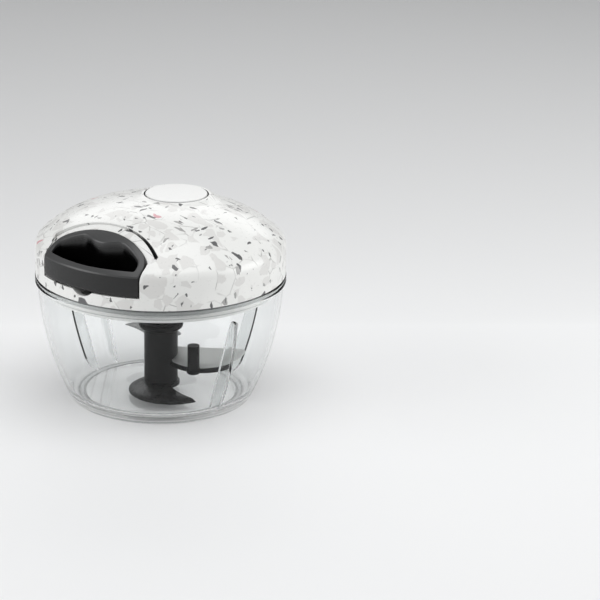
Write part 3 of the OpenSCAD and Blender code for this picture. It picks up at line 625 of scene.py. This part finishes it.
def gap_mask(tree, where, sizes):
    """Mask of painted shadow in the gap's walls behind the handle, darker towards its wide end, and in the
    cap's groove.
    """
    back_y, band_r = sizes.handle_back + BACK_R, BACK_R + BAND_BACK
    half = sizes.handle_half_width + BAND_SIDE
    bow = (GAP_END - GAP_MID) / (1 - math.cos(math.asin(half / band_r)))
    tight = 0.03 * MM
    outer = plan_distance(tree, where, (0, -back_y))
    inner = plan_distance(tree, where, (0, bow - back_y))
    across = add(tree, "ShaderNodeSeparateXYZ", {"Vector": where}).outputs["X"]
    before = within(tree, outer, 0, band_r + tight, tight)
    behind = within(tree, inner, band_r - GAP_MID - bow - tight, 1, tight)
    between = add(tree, "ShaderNodeMath", {0: before, 1: behind}, operation="MULTIPLY").outputs[0]
    deeper = add(tree, "ShaderNodeMapRange", {"Value": across, "From Min": 4 * MM, "From Max": 20 * MM})
    short = within(tree, across, 0, half, tight)
    ends = add(tree, "ShaderNodeMath", {0: deeper.outputs["Result"], 1: short}, operation="MULTIPLY")
    gap = add(tree, "ShaderNodeMath", {0: between, 1: ends.outputs[0]}, operation="MULTIPLY").outputs[0]
    low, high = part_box("top_cap")
    cap = plan_distance(tree, where, ((low.x + high.x) / 2, (low.y + high.y) / 2))
    groove = within(tree, cap, 0, sizes.cap_radius + CAP_GROOVE + tight, tight)
    return add(tree, "ShaderNodeMath", {0: gap, 1: groove}, operation="MAXIMUM").outputs[0]


def printed_abs(colours, sizes):
    """Moulded ABS with a printed stone chip pattern under satin lacquer: crisp chips, soft gloss."""
    mat, tree, shader, where = material("abs_terrazzo_print", {
        "Roughness": 0.32, "IOR": 1.53, "Coat Weight": 0.25, "Coat Roughness": 0.18})
    cloud = add(tree, "ShaderNodeTexNoise", {"Vector": where, "Scale": per_metre(26), "Detail": 3.0})
    veil = add(tree, "ShaderNodeMapRange", {"Value": cloud.outputs["Fac"], "From Min": 0.5, "From Max": 0.8,
                                            "To Max": 0.35})
    ground = add(tree, "ShaderNodeMix", {0: veil.outputs["Result"], 6: colours.lid, 7: colours.chip_pale},
                 data_type="RGBA").outputs[2]
    # Each layer's colour, chip size in mm, stretch, turn, share of cells kept, margin
    layers = (
        (colours.chip_pale, 11.0, (1.0, 1.7, 1.2), (0.4, 0.9, 0.3), 0.26, 0.05),
        (colours.chip_pale, 6.5, (1.5, 1.0, 1.3), (1.4, 0.3, 0.8), 0.16, 0.07),
        (colours.chip_grey, 5.2, (1.0, 2.3, 1.4), (0.9, 0.2, 1.1), 0.03, 0.09),
        (colours.chip_grey, 3.8, (2.2, 1.0, 1.3), (0.2, 1.2, 0.5), 0.014, 0.09),
        (colours.chip_dark, 5.0, (1.0, 2.5, 1.5), (1.3, 0.5, 2.2), 0.024, 0.09),
        (colours.chip_dark, 3.6, (2.4, 1.0, 1.6), (0.3, 0.4, 2.7), 0.02, 0.08),
        (colours.chip_dark, 2.6, (1.3, 2.0, 1.0), (0.8, 1.6, 0.2), 0.014, 0.08),
        (colours.chip_dark, 7.5, (1.0, 1.8, 1.4), (2.1, 1.1, 0.4), 0.006, 0.09),
        (colours.chip_rose, 6.4, (1.0, 1.9, 1.2), (0.7, 2.0, 1.6), 0.008, 0.09),
    )
    vein = vein_layer(tree, where, 15.0, (1.0, 1.6, 1.3), (0.6, 1.1, 0.4), 0.014)
    ground = add(tree, "ShaderNodeMix", {0: vein, 6: ground, 7: colours.vein}, data_type="RGBA").outputs[2]
    for colour, size_mm, stretch, turn, share, margin in layers:
        mask = chip_layer(tree, where, size_mm, stretch, turn, share, margin)
        ground = add(tree, "ShaderNodeMix", {0: mask, 6: ground, 7: colour}, data_type="RGBA").outputs[2]
    # Painted shadow in the gap behind the handle and in the cap's groove
    dark = gap_mask(tree, where, sizes)
    ground = add(tree, "ShaderNodeMix", {0: dark, 6: ground, 7: colours.groove}, data_type="RGBA").outputs[2]
    tree.links.new(ground, shader.inputs["Base Color"])
    roughen(tree, shader, where, 1.6, 0.004, 0.26, 0.36)
    return mat


def plain_plastic(name, colour, low, high, grain_mm=0.9, height_mm=0.006, ior=1.5, vary=0.06, shine=0.5):
    """Moulded plastic: one colour with a faint drift, spark-eroded grain too fine to show drawn coarser."""
    mat, tree, shader, where = material(name, {"IOR": ior, "Specular IOR Level": shine})
    drift = add(tree, "ShaderNodeTexNoise", {"Vector": where, "Scale": per_metre(14), "Detail": 2.0})
    darker = tuple(c * (1 - vary) for c in colour[:3]) + (1.0,)
    lighter = tuple(min(1.0, c * (1 + vary)) for c in colour[:3]) + (1.0,)
    shade = add(tree, "ShaderNodeMix", {0: drift.outputs["Fac"], 6: darker, 7: lighter}, data_type="RGBA")
    tree.links.new(shade.outputs[2], shader.inputs["Base Color"])
    roughen(tree, shader, where, grain_mm, height_mm, low, high)
    return mat


def handle_abs(colours):
    """Black ABS, spark eroded, glossier on the rim and in the recess; the rim's lighter top is painted
    highlight and the recess's near black is painted shade: satin rim, deep black hollow.
    """
    mat = plain_plastic("black_abs", colours.handle, 0.36, 0.5)
    tree = mat.node_tree
    shader = tree.nodes["Principled BSDF"]
    shade = shader.inputs["Base Color"].links[0].from_socket
    gloss = shader.inputs["Roughness"].links[0].from_socket
    # Per mark, the painted highlight colour on the rim's top or the painted shade colour in the recess, each
    # with a lower roughness
    for name, colour, rough in (("rim", colours.grip_rim_painted_highlight, 0.3), ("recess", colours.recess, 0.2)):
        mark = add(tree, "ShaderNodeAttribute", attribute_name=name).outputs["Fac"]
        shade = add(tree, "ShaderNodeMix", {0: mark, 6: shade, 7: colour}, data_type="RGBA").outputs[2]
        gloss = add(tree, "ShaderNodeMix", {0: mark, 2: gloss, 3: rough}, data_type="FLOAT").outputs[0]
    tree.links.new(shade, shader.inputs["Base Color"])
    tree.links.new(gloss, shader.inputs["Roughness"])
    return mat


def clear_san(colours, sizes):
    """Injection moulded SAN: a thin clear wall that hardly mirrors, with grey lines where it turns
    edge on. It lets the lights through instead of casting the dark shadow of solid glass."""
    mat, tree, shader, where = material("clear_san", {
        "IOR": 1.24, "Roughness": 0.012, "Transmission Weight": 1.0})
    waves = add(tree, "ShaderNodeTexNoise", {"Vector": where, "Scale": per_metre(30), "Detail": 1.0})
    bump = add(tree, "ShaderNodeBump", {"Height": waves.outputs["Fac"], "Distance": 0.05 * MM,
                                        "Strength": 0.3})
    height = add(tree, "ShaderNodeSeparateXYZ", {"Vector": where}).outputs["Z"]
    radius = plan_distance(tree, where, (0, 0))

    # Two painted lines of contact shadow on the ring that touches the table, and an underside that light can
    # leave
    inner_line = within(tree, radius, 38 * MM, 39.4 * MM, 0.4 * MM)
    outer_line = within(tree, radius, 41.6 * MM, 42.6 * MM, 0.4 * MM)
    contact_shade = add(tree, "ShaderNodeMath", {0: inner_line, 1: outer_line}, operation="MAXIMUM").outputs[0]
    on_table = within(tree, height, -1 * MM, 0.3 * MM, 0.4 * MM)
    ring = add(tree, "ShaderNodeMath", {0: contact_shade, 1: on_table}, operation="MULTIPLY").outputs[0]
    under = add(tree, "ShaderNodeMapRange", {"Value": height, "From Min": 1.1 * MM, "From Max": 1.6 * MM,
                                             "To Min": 0.35, "To Max": 1.0}).outputs["Result"]
    solid = add(tree, "ShaderNodeMath", {0: ring, 1: 0.4, 2: under}, operation="MULTIPLY_ADD").outputs[0]
    shadow = add(tree, "ShaderNodeLightPath").outputs["Is Shadow Ray"]
    body = add(tree, "ShaderNodeMapRange", {"Value": shadow, "To Min": solid, "To Max": 0.08})

    # Painted shade at the edge of the rim under the lid and in the line under its bead
    rim = within(tree, height, sizes.rim_height - 0.35 * MM, sizes.rim_height + 1 * MM, 0.3 * MM)
    bead_low = sizes.rim_height - 4 * BEAD_R
    bead_edge = within(tree, height, bead_low - 0.1 * MM, bead_low + 0.3 * MM, 0.15 * MM)
    outside = within(tree, radius, sizes.rim_radius - 1.3 * MM, 1, 0.1 * MM)
    bead = add(tree, "ShaderNodeMath", {0: bead_edge, 1: outside}, operation="MULTIPLY").outputs[0]
    lines = add(tree, "ShaderNodeMath", {0: rim, 1: bead}, operation="MAXIMUM").outputs[0]
    edges = add(tree, "ShaderNodeMath", {0: ring, 1: lines}, operation="MAXIMUM").outputs[0]

    # Fins, which stand in from the wall's inner arc, drawn greyer than the wall as painted shade
    section = add(tree, "ShaderNodeCombineXYZ", {"X": radius, "Y": height}).outputs[0]
    off_centre = add(tree, "ShaderNodeVectorMath", {0: section, 1: (*wall_centre(sizes), 0)},
                     operation="DISTANCE").outputs["Value"]
    inside = within(tree, off_centre, 0, WALL_R - sizes.bowl_wall - 0.5 * MM, 0.3 * MM)
    raised = within(tree, height, 8 * MM, sizes.rim_height, 2 * MM)
    fins = add(tree, "ShaderNodeMath", {0: inside, 1: raised}, operation="MULTIPLY").outputs[0]

    faces = add(tree, "ShaderNodeMix", {0: fins, 6: colours.bowl, 7: colours.bowl_fin_painted_shade}, data_type="RGBA")
    tone = add(tree, "ShaderNodeMix", {0: edges, 6: faces.outputs[2], 7: colours.bowl_painted_shade},
               data_type="RGBA")
    tree.links.new(bump.outputs["Normal"], shader.inputs["Normal"])
    tree.links.new(tone.outputs[2], shader.inputs["Base Color"])
    tree.links.new(body.outputs["Result"], shader.inputs["Alpha"])
    return mat


def ground_steel(name, colour, turn, rough):
    """Stainless sheet with a ground finish: fine scratches one way, drawn at 0.3 mm so that they show."""
    mat, tree, shader, where = material(name, {"Metallic": 1.0, "Roughness": rough})
    along = add(tree, "ShaderNodeMapping", {"Vector": where, "Rotation": (0, 0, turn),
                                             "Scale": (0.04, 1.0, 1.0)})
    lines = add(tree, "ShaderNodeTexNoise", {"Vector": along.outputs["Vector"], "Scale": per_metre(0.3),
                                             "Detail": 2.0})
    dim = tuple(c * 0.86 for c in colour[:3]) + (1.0,)
    shade = add(tree, "ShaderNodeMix", {0: lines.outputs["Fac"], 6: dim, 7: tuple(colour)}, data_type="RGBA")
    bump = add(tree, "ShaderNodeBump", {"Height": lines.outputs["Fac"], "Distance": 0.01 * MM,
                                        "Strength": 0.5})
    spread = add(tree, "ShaderNodeMapRange", {"Value": lines.outputs["Fac"], "To Min": rough - 0.06,
                                              "To Max": rough + 0.08})
    tree.links.new(shade.outputs[2], shader.inputs["Base Color"])
    tree.links.new(bump.outputs["Normal"], shader.inputs["Normal"])
    tree.links.new(spread.outputs["Result"], shader.inputs["Roughness"])
    return mat


def braided_nylon(colour, thickness):
    """Braided nylon: two families of strands that cross, on the cord's own UV map (turns, lengths)."""
    mat, tree, shader, _ = material("braided_nylon", {"Roughness": 0.75, "Sheen Weight": 0.2})
    uv = add(tree, "ShaderNodeUVMap", uv_map="along").outputs["UV"]
    strands = []
    for turn in (0.785, -0.785):
        slant = add(tree, "ShaderNodeMapping", {"Vector": uv, "Rotation": (0, 0, turn)})
        strands.append(add(tree, "ShaderNodeTexWave", {"Vector": slant.outputs["Vector"], "Scale": 1.2},
                           wave_type="BANDS", wave_profile="SIN").outputs["Fac"])
    weave = add(tree, "ShaderNodeMath", {0: strands[0], 1: strands[1]}, operation="MAXIMUM")
    dim = tuple(c * 0.45 for c in colour[:3]) + (1.0,)
    shade = add(tree, "ShaderNodeMix", {0: weave.outputs[0], 6: dim, 7: tuple(colour)}, data_type="RGBA")
    bump = add(tree, "ShaderNodeBump", {"Height": weave.outputs[0], "Distance": 0.08 * thickness})
    tree.links.new(shade.outputs[2], shader.inputs["Base Color"])
    tree.links.new(bump.outputs["Normal"], shader.inputs["Normal"])
    return mat


# Pieces


class CHOPPER_OT_bowl(bpy.types.Operator):
    """Clear bowl: one turned wall with a beaded rim and a ring foot, and four fins inside"""

    bl_idname = "chopper.bowl"
    bl_label = "Bowl"

    def execute(self, context):
        s, c = context.scene.chopper_sizes, context.scene.chopper_colours
        shell = mesh_object("shell", *skin(revolve(bowl_profile(s), 256), "poles"))
        fins = []
        for azimuth in FIN_AZIMUTHS:
            fins.append(mesh_object("fin", *skin(fin_rings(azimuth, s), "poles")))
        bowl = combined("clear_bowl", shell, fins, "UNION")
        place(bowl, clear_san(c, s), "bowl_body", "clear_plastic", "bowl")
        return {"FINISHED"}


class CHOPPER_OT_lid(bpy.types.Operator):
    """Domed lid with its printed pattern, its white base and seal"""

    bl_idname = "chopper.lid"
    bl_label = "Lid"

    def execute(self, context):
        s, c = context.scene.chopper_sizes, context.scene.chopper_colours
        dress(printed_abs(c, s), "lid_cover")
        white = plain_plastic("white_abs", c.white_abs, 0.3, 0.42)
        dress(white, "lid_base", "spool", "spring_cover", "drive_shaft")
        dress(plain_plastic("translucent_silicone", c.silicone, 0.4, 0.55, ior=1.41), "seal_ring")
        return {"FINISHED"}


class CHOPPER_OT_cap(bpy.types.Operator):
    """Bare round cap with a softly crowned face and a rolled edge"""

    bl_idname = "chopper.cap"
    bl_label = "Top cap"

    def execute(self, context):
        s, c = context.scene.chopper_sizes, context.scene.chopper_colours
        low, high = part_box("top_cap")
        base = high.z - CAP_PLATE
        r, bevel = s.cap_radius, 0.2 * MM
        crown = np.linspace(r - CAP_EDGE, 0.3 * MM, 14)
        profile = np.vstack([
            [[0.5 * MM, low.z], [CAP_STEM_R, low.z], [CAP_STEM_R, base]],
            [[r - bevel, base], [r, base + bevel]],
            arc(r - CAP_EDGE, high.z - CAP_EDGE - CAP_BOW, CAP_EDGE, 0, 90, 8),
            np.column_stack([crown, high.z - CAP_BOW * (crown / r) ** 2])[1:],
        ])
        rings = revolve(profile, 128)
        rings[..., 1] += (low.y + high.y) / 2
        cap = mesh_object("round_cap", *skin(rings, "poles"))
        white = plain_plastic("white_abs_cap", c.cap, 0.28, 0.36, vary=0.01)
        place(cap, white, "lid", "cap_plastic", "top_cap")
        return {"FINISHED"}


class CHOPPER_OT_handle(bpy.types.Operator):
    """Pull handle: a rim flush with the dome round a heart-shaped finger recess"""

    bl_idname = "chopper.handle"
    bl_label = "Pull handle"

    def execute(self, context):
        s, c = context.scene.chopper_sizes, context.scene.chopper_colours
        rows, rim_from, recess_from = grip_rows(s)
        solid = mesh_object("solid", *skin(rows, "poles"), sharp=50)
        number = np.arange(len(rows))
        in_recess = number >= recess_from
        on_rim = (number >= rim_from) & ~in_recess
        # The rim rows take the handle's painted highlight and the recess rows its painted shade
        for name, marks, poles in (("recess", in_recess, [0, 1]), ("rim", on_rim, [0, 0])):
            layer = solid.data.attributes.new(name, "FLOAT", "POINT")
            values = np.append(np.repeat(marks, rows.shape[1]), poles)
            layer.data.foreach_set("value", values.astype(np.float32))
        low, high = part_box("cord_knot")
        middle = (low + high) / 2
        bottom = s.lid_bottom + GRIP_UP
        bore = revolve(np.array([[1, bottom - 1 * MM], [1, high.z + KNOT_ROOM]]), 48)
        bore[..., :2] *= (high.x - low.x) / 2 + KNOT_ROOM
        bore[..., 1] += middle.y
        pocket = mesh_object("pocket", *skin(bore, "poles"))
        way_in = np.array([[0, middle.y, middle.z], [0, middle.y + 6 * MM, middle.z]])
        hole = tube("hole", way_in, s.cord_thickness / 2 + KNOT_ROOM, 32)
        grip = combined("finger_grip", solid, [pocket, hole], "DIFFERENCE", sharp=50)
        place(grip, handle_abs(c), "handle", "black_plastic", "pull_handle")
        return {"FINISHED"}


class CHOPPER_OT_cord(bpy.types.Operator):
    """Pull cord: its turns on the drum, its run to the handle and its knot"""

    bl_idname = "chopper.cord"
    bl_label = "Cord"

    def execute(self, context):
        s, c = context.scene.chopper_sizes, context.scene.chopper_colours
        half = s.cord_thickness / 2
        low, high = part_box("cord_knot")
        x, y, z = (low + high) / 2
        nylon = braided_nylon(c.cord, s.cord_thickness)

        # Turns on the drum, which end where the run leaves them on a tangent
        lay = DRUM_R + half + LAY_GAP
        eye_y = s.handle_back - EYE_SET - EYE_LIP
        bend_r = half + LAY_GAP + EYE_LIP
        bend = math.asin((lay + bend_r) / math.hypot(bend_r, eye_y)) - math.atan(bend_r / eye_y)
        t = np.linspace(0, CORD_TURNS, 337)
        a = -bend + 2 * np.pi * t
        coil = np.column_stack([lay * np.cos(a), lay * np.sin(a), z - CORD_PITCH * t])
        winding = tube("cord_turns", coil, half, 10)
        place(winding, nylon, "spool_unit", "cord", "cord_winding")

        # Run: straight to the eyelet, round its lip, then straight out to the knot
        k = np.linspace(bend, 0, 10)
        curve = np.column_stack([bend_r * (1 - np.cos(k)), -eye_y + bend_r * np.sin(k), z + 0 * k])
        inward = np.array([math.sin(bend), math.cos(bend), 0])
        start = np.array([lay * math.cos(bend), -lay * math.sin(bend), z]) - 0.8 * MM * inward
        lead = start + np.linspace(0, 1, 12)[:-1, None] * (curve[0] - start)
        knot_back = high.y
        out = np.linspace(-eye_y, knot_back - 0.2 * MM, 41)[1:]
        tail = np.column_stack([0 * out, out, z + 0 * out])
        run = tube("cord_lead", np.vstack([lead, curve, tail]), half, 10)
        run.data.materials.append(nylon)
        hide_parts("cord_run")
        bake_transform(run)

        # Knot: a trefoil (sin q + 2 sin 2q, cos q - 2 cos 2q, -sin 3q) that fills its solid's box
        q = np.linspace(0, 2 * np.pi, 121)[:-1]
        strand = half * KNOT_STRAND
        room = (high - low) / 2 - Vector((strand, strand, strand))
        wide = (np.sin(q) + 2 * np.sin(2 * q)) / 3
        tall = (np.cos(q) - 2 * np.cos(2 * q)) / 3
        loops = np.column_stack([wide * room.x, -np.sin(3 * q) * room.y, tall * room.z])
        knot = tube("cord_stopper_knot", loops + np.array([x, y, z]), strand, 10)
        place(knot, nylon, "handle", "cord", "cord_knot")
        return {"FINISHED"}


class CHOPPER_OT_blades(bpy.types.Operator):
    """Blade unit: hub, coated lower blade, two ground steel blades and the stirring arm"""

    bl_idname = "chopper.blades"
    bl_label = "Blade unit"

    def execute(self, context):
        c = context.scene.chopper_colours
        nylon = plain_plastic("black_nylon", c.nylon, 0.3, 0.42, shine=0.12)
        dress(nylon, "blade_hub", "stirring_arm")
        dress(plain_plastic("black_blade_coating", c.blade_coat, 0.25, 0.36, shine=0.3), "lower_blade")
        dress(ground_steel("ground_stainless", c.steel, 0.5, 0.5), "middle_blade")
        # Upper blade: the same steel drawn darker, as painted shade
        dress(ground_steel("stainless_painted_shade", c.steel_painted_shade, 0.2, 0.4), "upper_blade")
        return {"FINISHED"}


class CHOPPER_OT_drive(bpy.types.Operator):
    """Recoil spring, bearings, guide and screws inside the lid, and the bowl's pivot pin"""

    bl_idname = "chopper.drive"
    bl_label = "Drive"

    def execute(self, context):
        c = context.scene.chopper_colours
        acetal = plain_plastic("acetal", c.acetal, 0.3, 0.4)
        dress(acetal, "cord_guide", "spring_arbor", "drive_bush")
        dress(ground_steel("spring_strip", c.spring, 0.0, 0.28), "spiral_spring")
        zinc = ground_steel("zinc_plated_steel", c.zinc, 0.9, 0.3)
        dress(zinc, "arbor_screws", "lid_screws", "spool_screws", "thrust_washer", "pivot_pin")
        return {"FINISHED"}


class CHOPPER_OT_stage(bpy.types.Operator):
    """Pale floor that curves up into a back wall, soft lights and the camera"""

    bl_idname = "chopper.stage"
    bl_label = "Stage"

    AZIMUTH = math.radians(37.3)
    DISTANCE, HEIGHT = 1130.2 * MM, 442.2 * MM
    PITCH, SWING = math.radians(19.18), math.radians(3.337)
    LENS = 143.04

    def execute(self, context):
        c = context.scene.chopper_colours
        turn = Matrix.Rotation(self.AZIMUTH, 4, "Z")
        bend_r, back, front, half, top = 0.6, 1.5, 2.2, 3.2, 3.0
        sweep = np.vstack([
            np.column_stack([np.linspace(-front, back, 24), np.zeros(24)]),
            arc(back, bend_r, bend_r, -90, 0, 24)[1:],
            np.column_stack([np.full(12, back + bend_r), np.linspace(bend_r, top, 12)])[1:],
        ])
        across = np.linspace(-half, half, 24)
        grid = np.stack(np.broadcast_arrays(across[None, :], sweep[:, :1], sweep[:, 1:]), axis=-1)
        n, m, _ = grid.shape
        i, j = np.meshgrid(np.arange(n - 1), np.arange(m - 1), indexing="ij")
        corner = i * m + j
        quads = np.stack([corner, corner + 1, corner + m + 1, corner + m], axis=-1).reshape(-1, 4)
        flat = grid.reshape(-1, 3) @ np.array(turn.to_3x3()).T
        sheet = mesh_object("studio_sweep", flat, quads.tolist(), closed=False)
        mat, tree, shader, where = material("sweep_painted_falloff", {"Roughness": 0.55, "Specular IOR Level": 0.25})
        # Painted shade: the floor colour turns to the wall colour with depth, darker towards the back
        turned = add(tree, "ShaderNodeMapping", {"Vector": where, "Rotation": (0, 0, -self.AZIMUTH)})
        depth = add(tree, "ShaderNodeSeparateXYZ", {"Vector": turned.outputs["Vector"]}).outputs["Y"]
        far = add(tree, "ShaderNodeMapRange", {"Value": depth, "From Min": 0.1, "From Max": 0.95})
        falloff_shade = add(tree, "ShaderNodeMath", {0: far.outputs["Result"], 1: 0.6}, operation="POWER")
        paint = add(tree, "ShaderNodeMix", {0: falloff_shade.outputs[0], 6: c.floor, 7: c.wall}, data_type="RGBA")
        tree.links.new(paint.outputs[2], shader.inputs["Base Color"])
        sheet.data.materials.append(mat)

        context.scene.view_settings.view_transform = "Standard"
        world = bpy.data.worlds.new("studio")
        context.scene.world = world
        world.use_nodes = True
        sky = world.node_tree.nodes["Background"]
        sky.inputs["Color"].default_value = c.daylight
        sky.inputs["Strength"].default_value = 0.5

        # Name, place, aim, width, height and watts of each light, turned with the camera
        lights = (
            ("overhead", (0.05, -0.1, 1.5), (0, 0, 0.05), 1.3, 1.3, 9),
            ("left_bank", (-1.3, -0.3, 0.55), (0, 0, 0.04), 1.0, 0.8, 7),
            ("right_bank", (1.2, -0.1, 0.5), (0, 0, 0.04), 0.8, 0.8, 6),
            ("back_bank", (0.1, 1.2, 0.7), (0, 0, 0.03), 1.4, 0.5, 3),
        )
        for name, spot, aim, wide, tall, watts in lights:
            data = bpy.data.lights.new(name, "AREA")
            data.shape, data.size, data.size_y, data.energy = "RECTANGLE", wide, tall, watts
            lamp = bpy.data.objects.new(name, data)
            context.scene.collection.objects.link(lamp)
            ahead = Vector(aim) - Vector(spot)
            facing = ahead.to_track_quat("-Z", "Y").to_matrix().to_4x4()
            lamp.matrix_world = turn @ Matrix.Translation(spot) @ facing

        lens = bpy.data.cameras.new("photo_view")
        lens.sensor_fit, lens.sensor_width, lens.lens = "HORIZONTAL", 36.0, self.LENS
        lens.clip_start, lens.clip_end = 0.05, 20.0
        camera = bpy.data.objects.new("photo_view", lens)
        context.scene.collection.objects.link(camera)
        ahead = Vector((0, math.cos(self.PITCH), -math.sin(self.PITCH)))
        above = Vector((0, math.sin(self.PITCH), math.cos(self.PITCH)))
        ahead = Matrix.Rotation(-self.SWING, 3, above) @ ahead
        right = ahead.cross(above)
        axes = Matrix((right, above, -ahead)).transposed().to_4x4()
        camera.matrix_world = turn @ Matrix.Translation((0, -self.DISTANCE, self.HEIGHT)) @ axes
        context.scene.camera = camera
        return {"FINISHED"}


class CHOPPER_PT_panel(bpy.types.Panel):
    """Lists the pieces, their sizes and their colours"""

    bl_idname = "CHOPPER_PT_panel"
    bl_label = "Food chopper"
    bl_space_type = "VIEW_3D"
    bl_region_type = "UI"
    bl_category = "Chopper"

    def draw(self, context):
        for operator in OPERATORS:
            self.layout.operator(operator.bl_idname)
        for group in (context.scene.chopper_sizes, context.scene.chopper_colours):
            for key in group.__annotations__:
                self.layout.prop(group, key)


OPERATORS = (
    CHOPPER_OT_stage,
    CHOPPER_OT_cord,
    CHOPPER_OT_bowl,
    CHOPPER_OT_lid,
    CHOPPER_OT_cap,
    CHOPPER_OT_handle,
    CHOPPER_OT_blades,
    CHOPPER_OT_drive,
)
CLASSES = (ChopperSizes, ChopperColours, *OPERATORS, CHOPPER_PT_panel)


def register():
    for cls in CLASSES:
        bpy.utils.register_class(cls)
    bpy.types.Scene.chopper_sizes = bpy.props.PointerProperty(type=ChopperSizes)
    bpy.types.Scene.chopper_colours = bpy.props.PointerProperty(type=ChopperColours)


def unregister():
    del bpy.types.Scene.chopper_colours
    del bpy.types.Scene.chopper_sizes
    for cls in reversed(CLASSES):
        bpy.utils.unregister_class(cls)


def main():
    """Makes the stage and every piece."""
    register()
    bpy.ops.chopper.stage()
    bpy.ops.chopper.cord()
    bpy.ops.chopper.bowl()
    bpy.ops.chopper.lid()
    bpy.ops.chopper.cap()
    bpy.ops.chopper.handle()
    bpy.ops.chopper.blades()
    bpy.ops.chopper.drive()


if __name__ == "__main__":
    main()
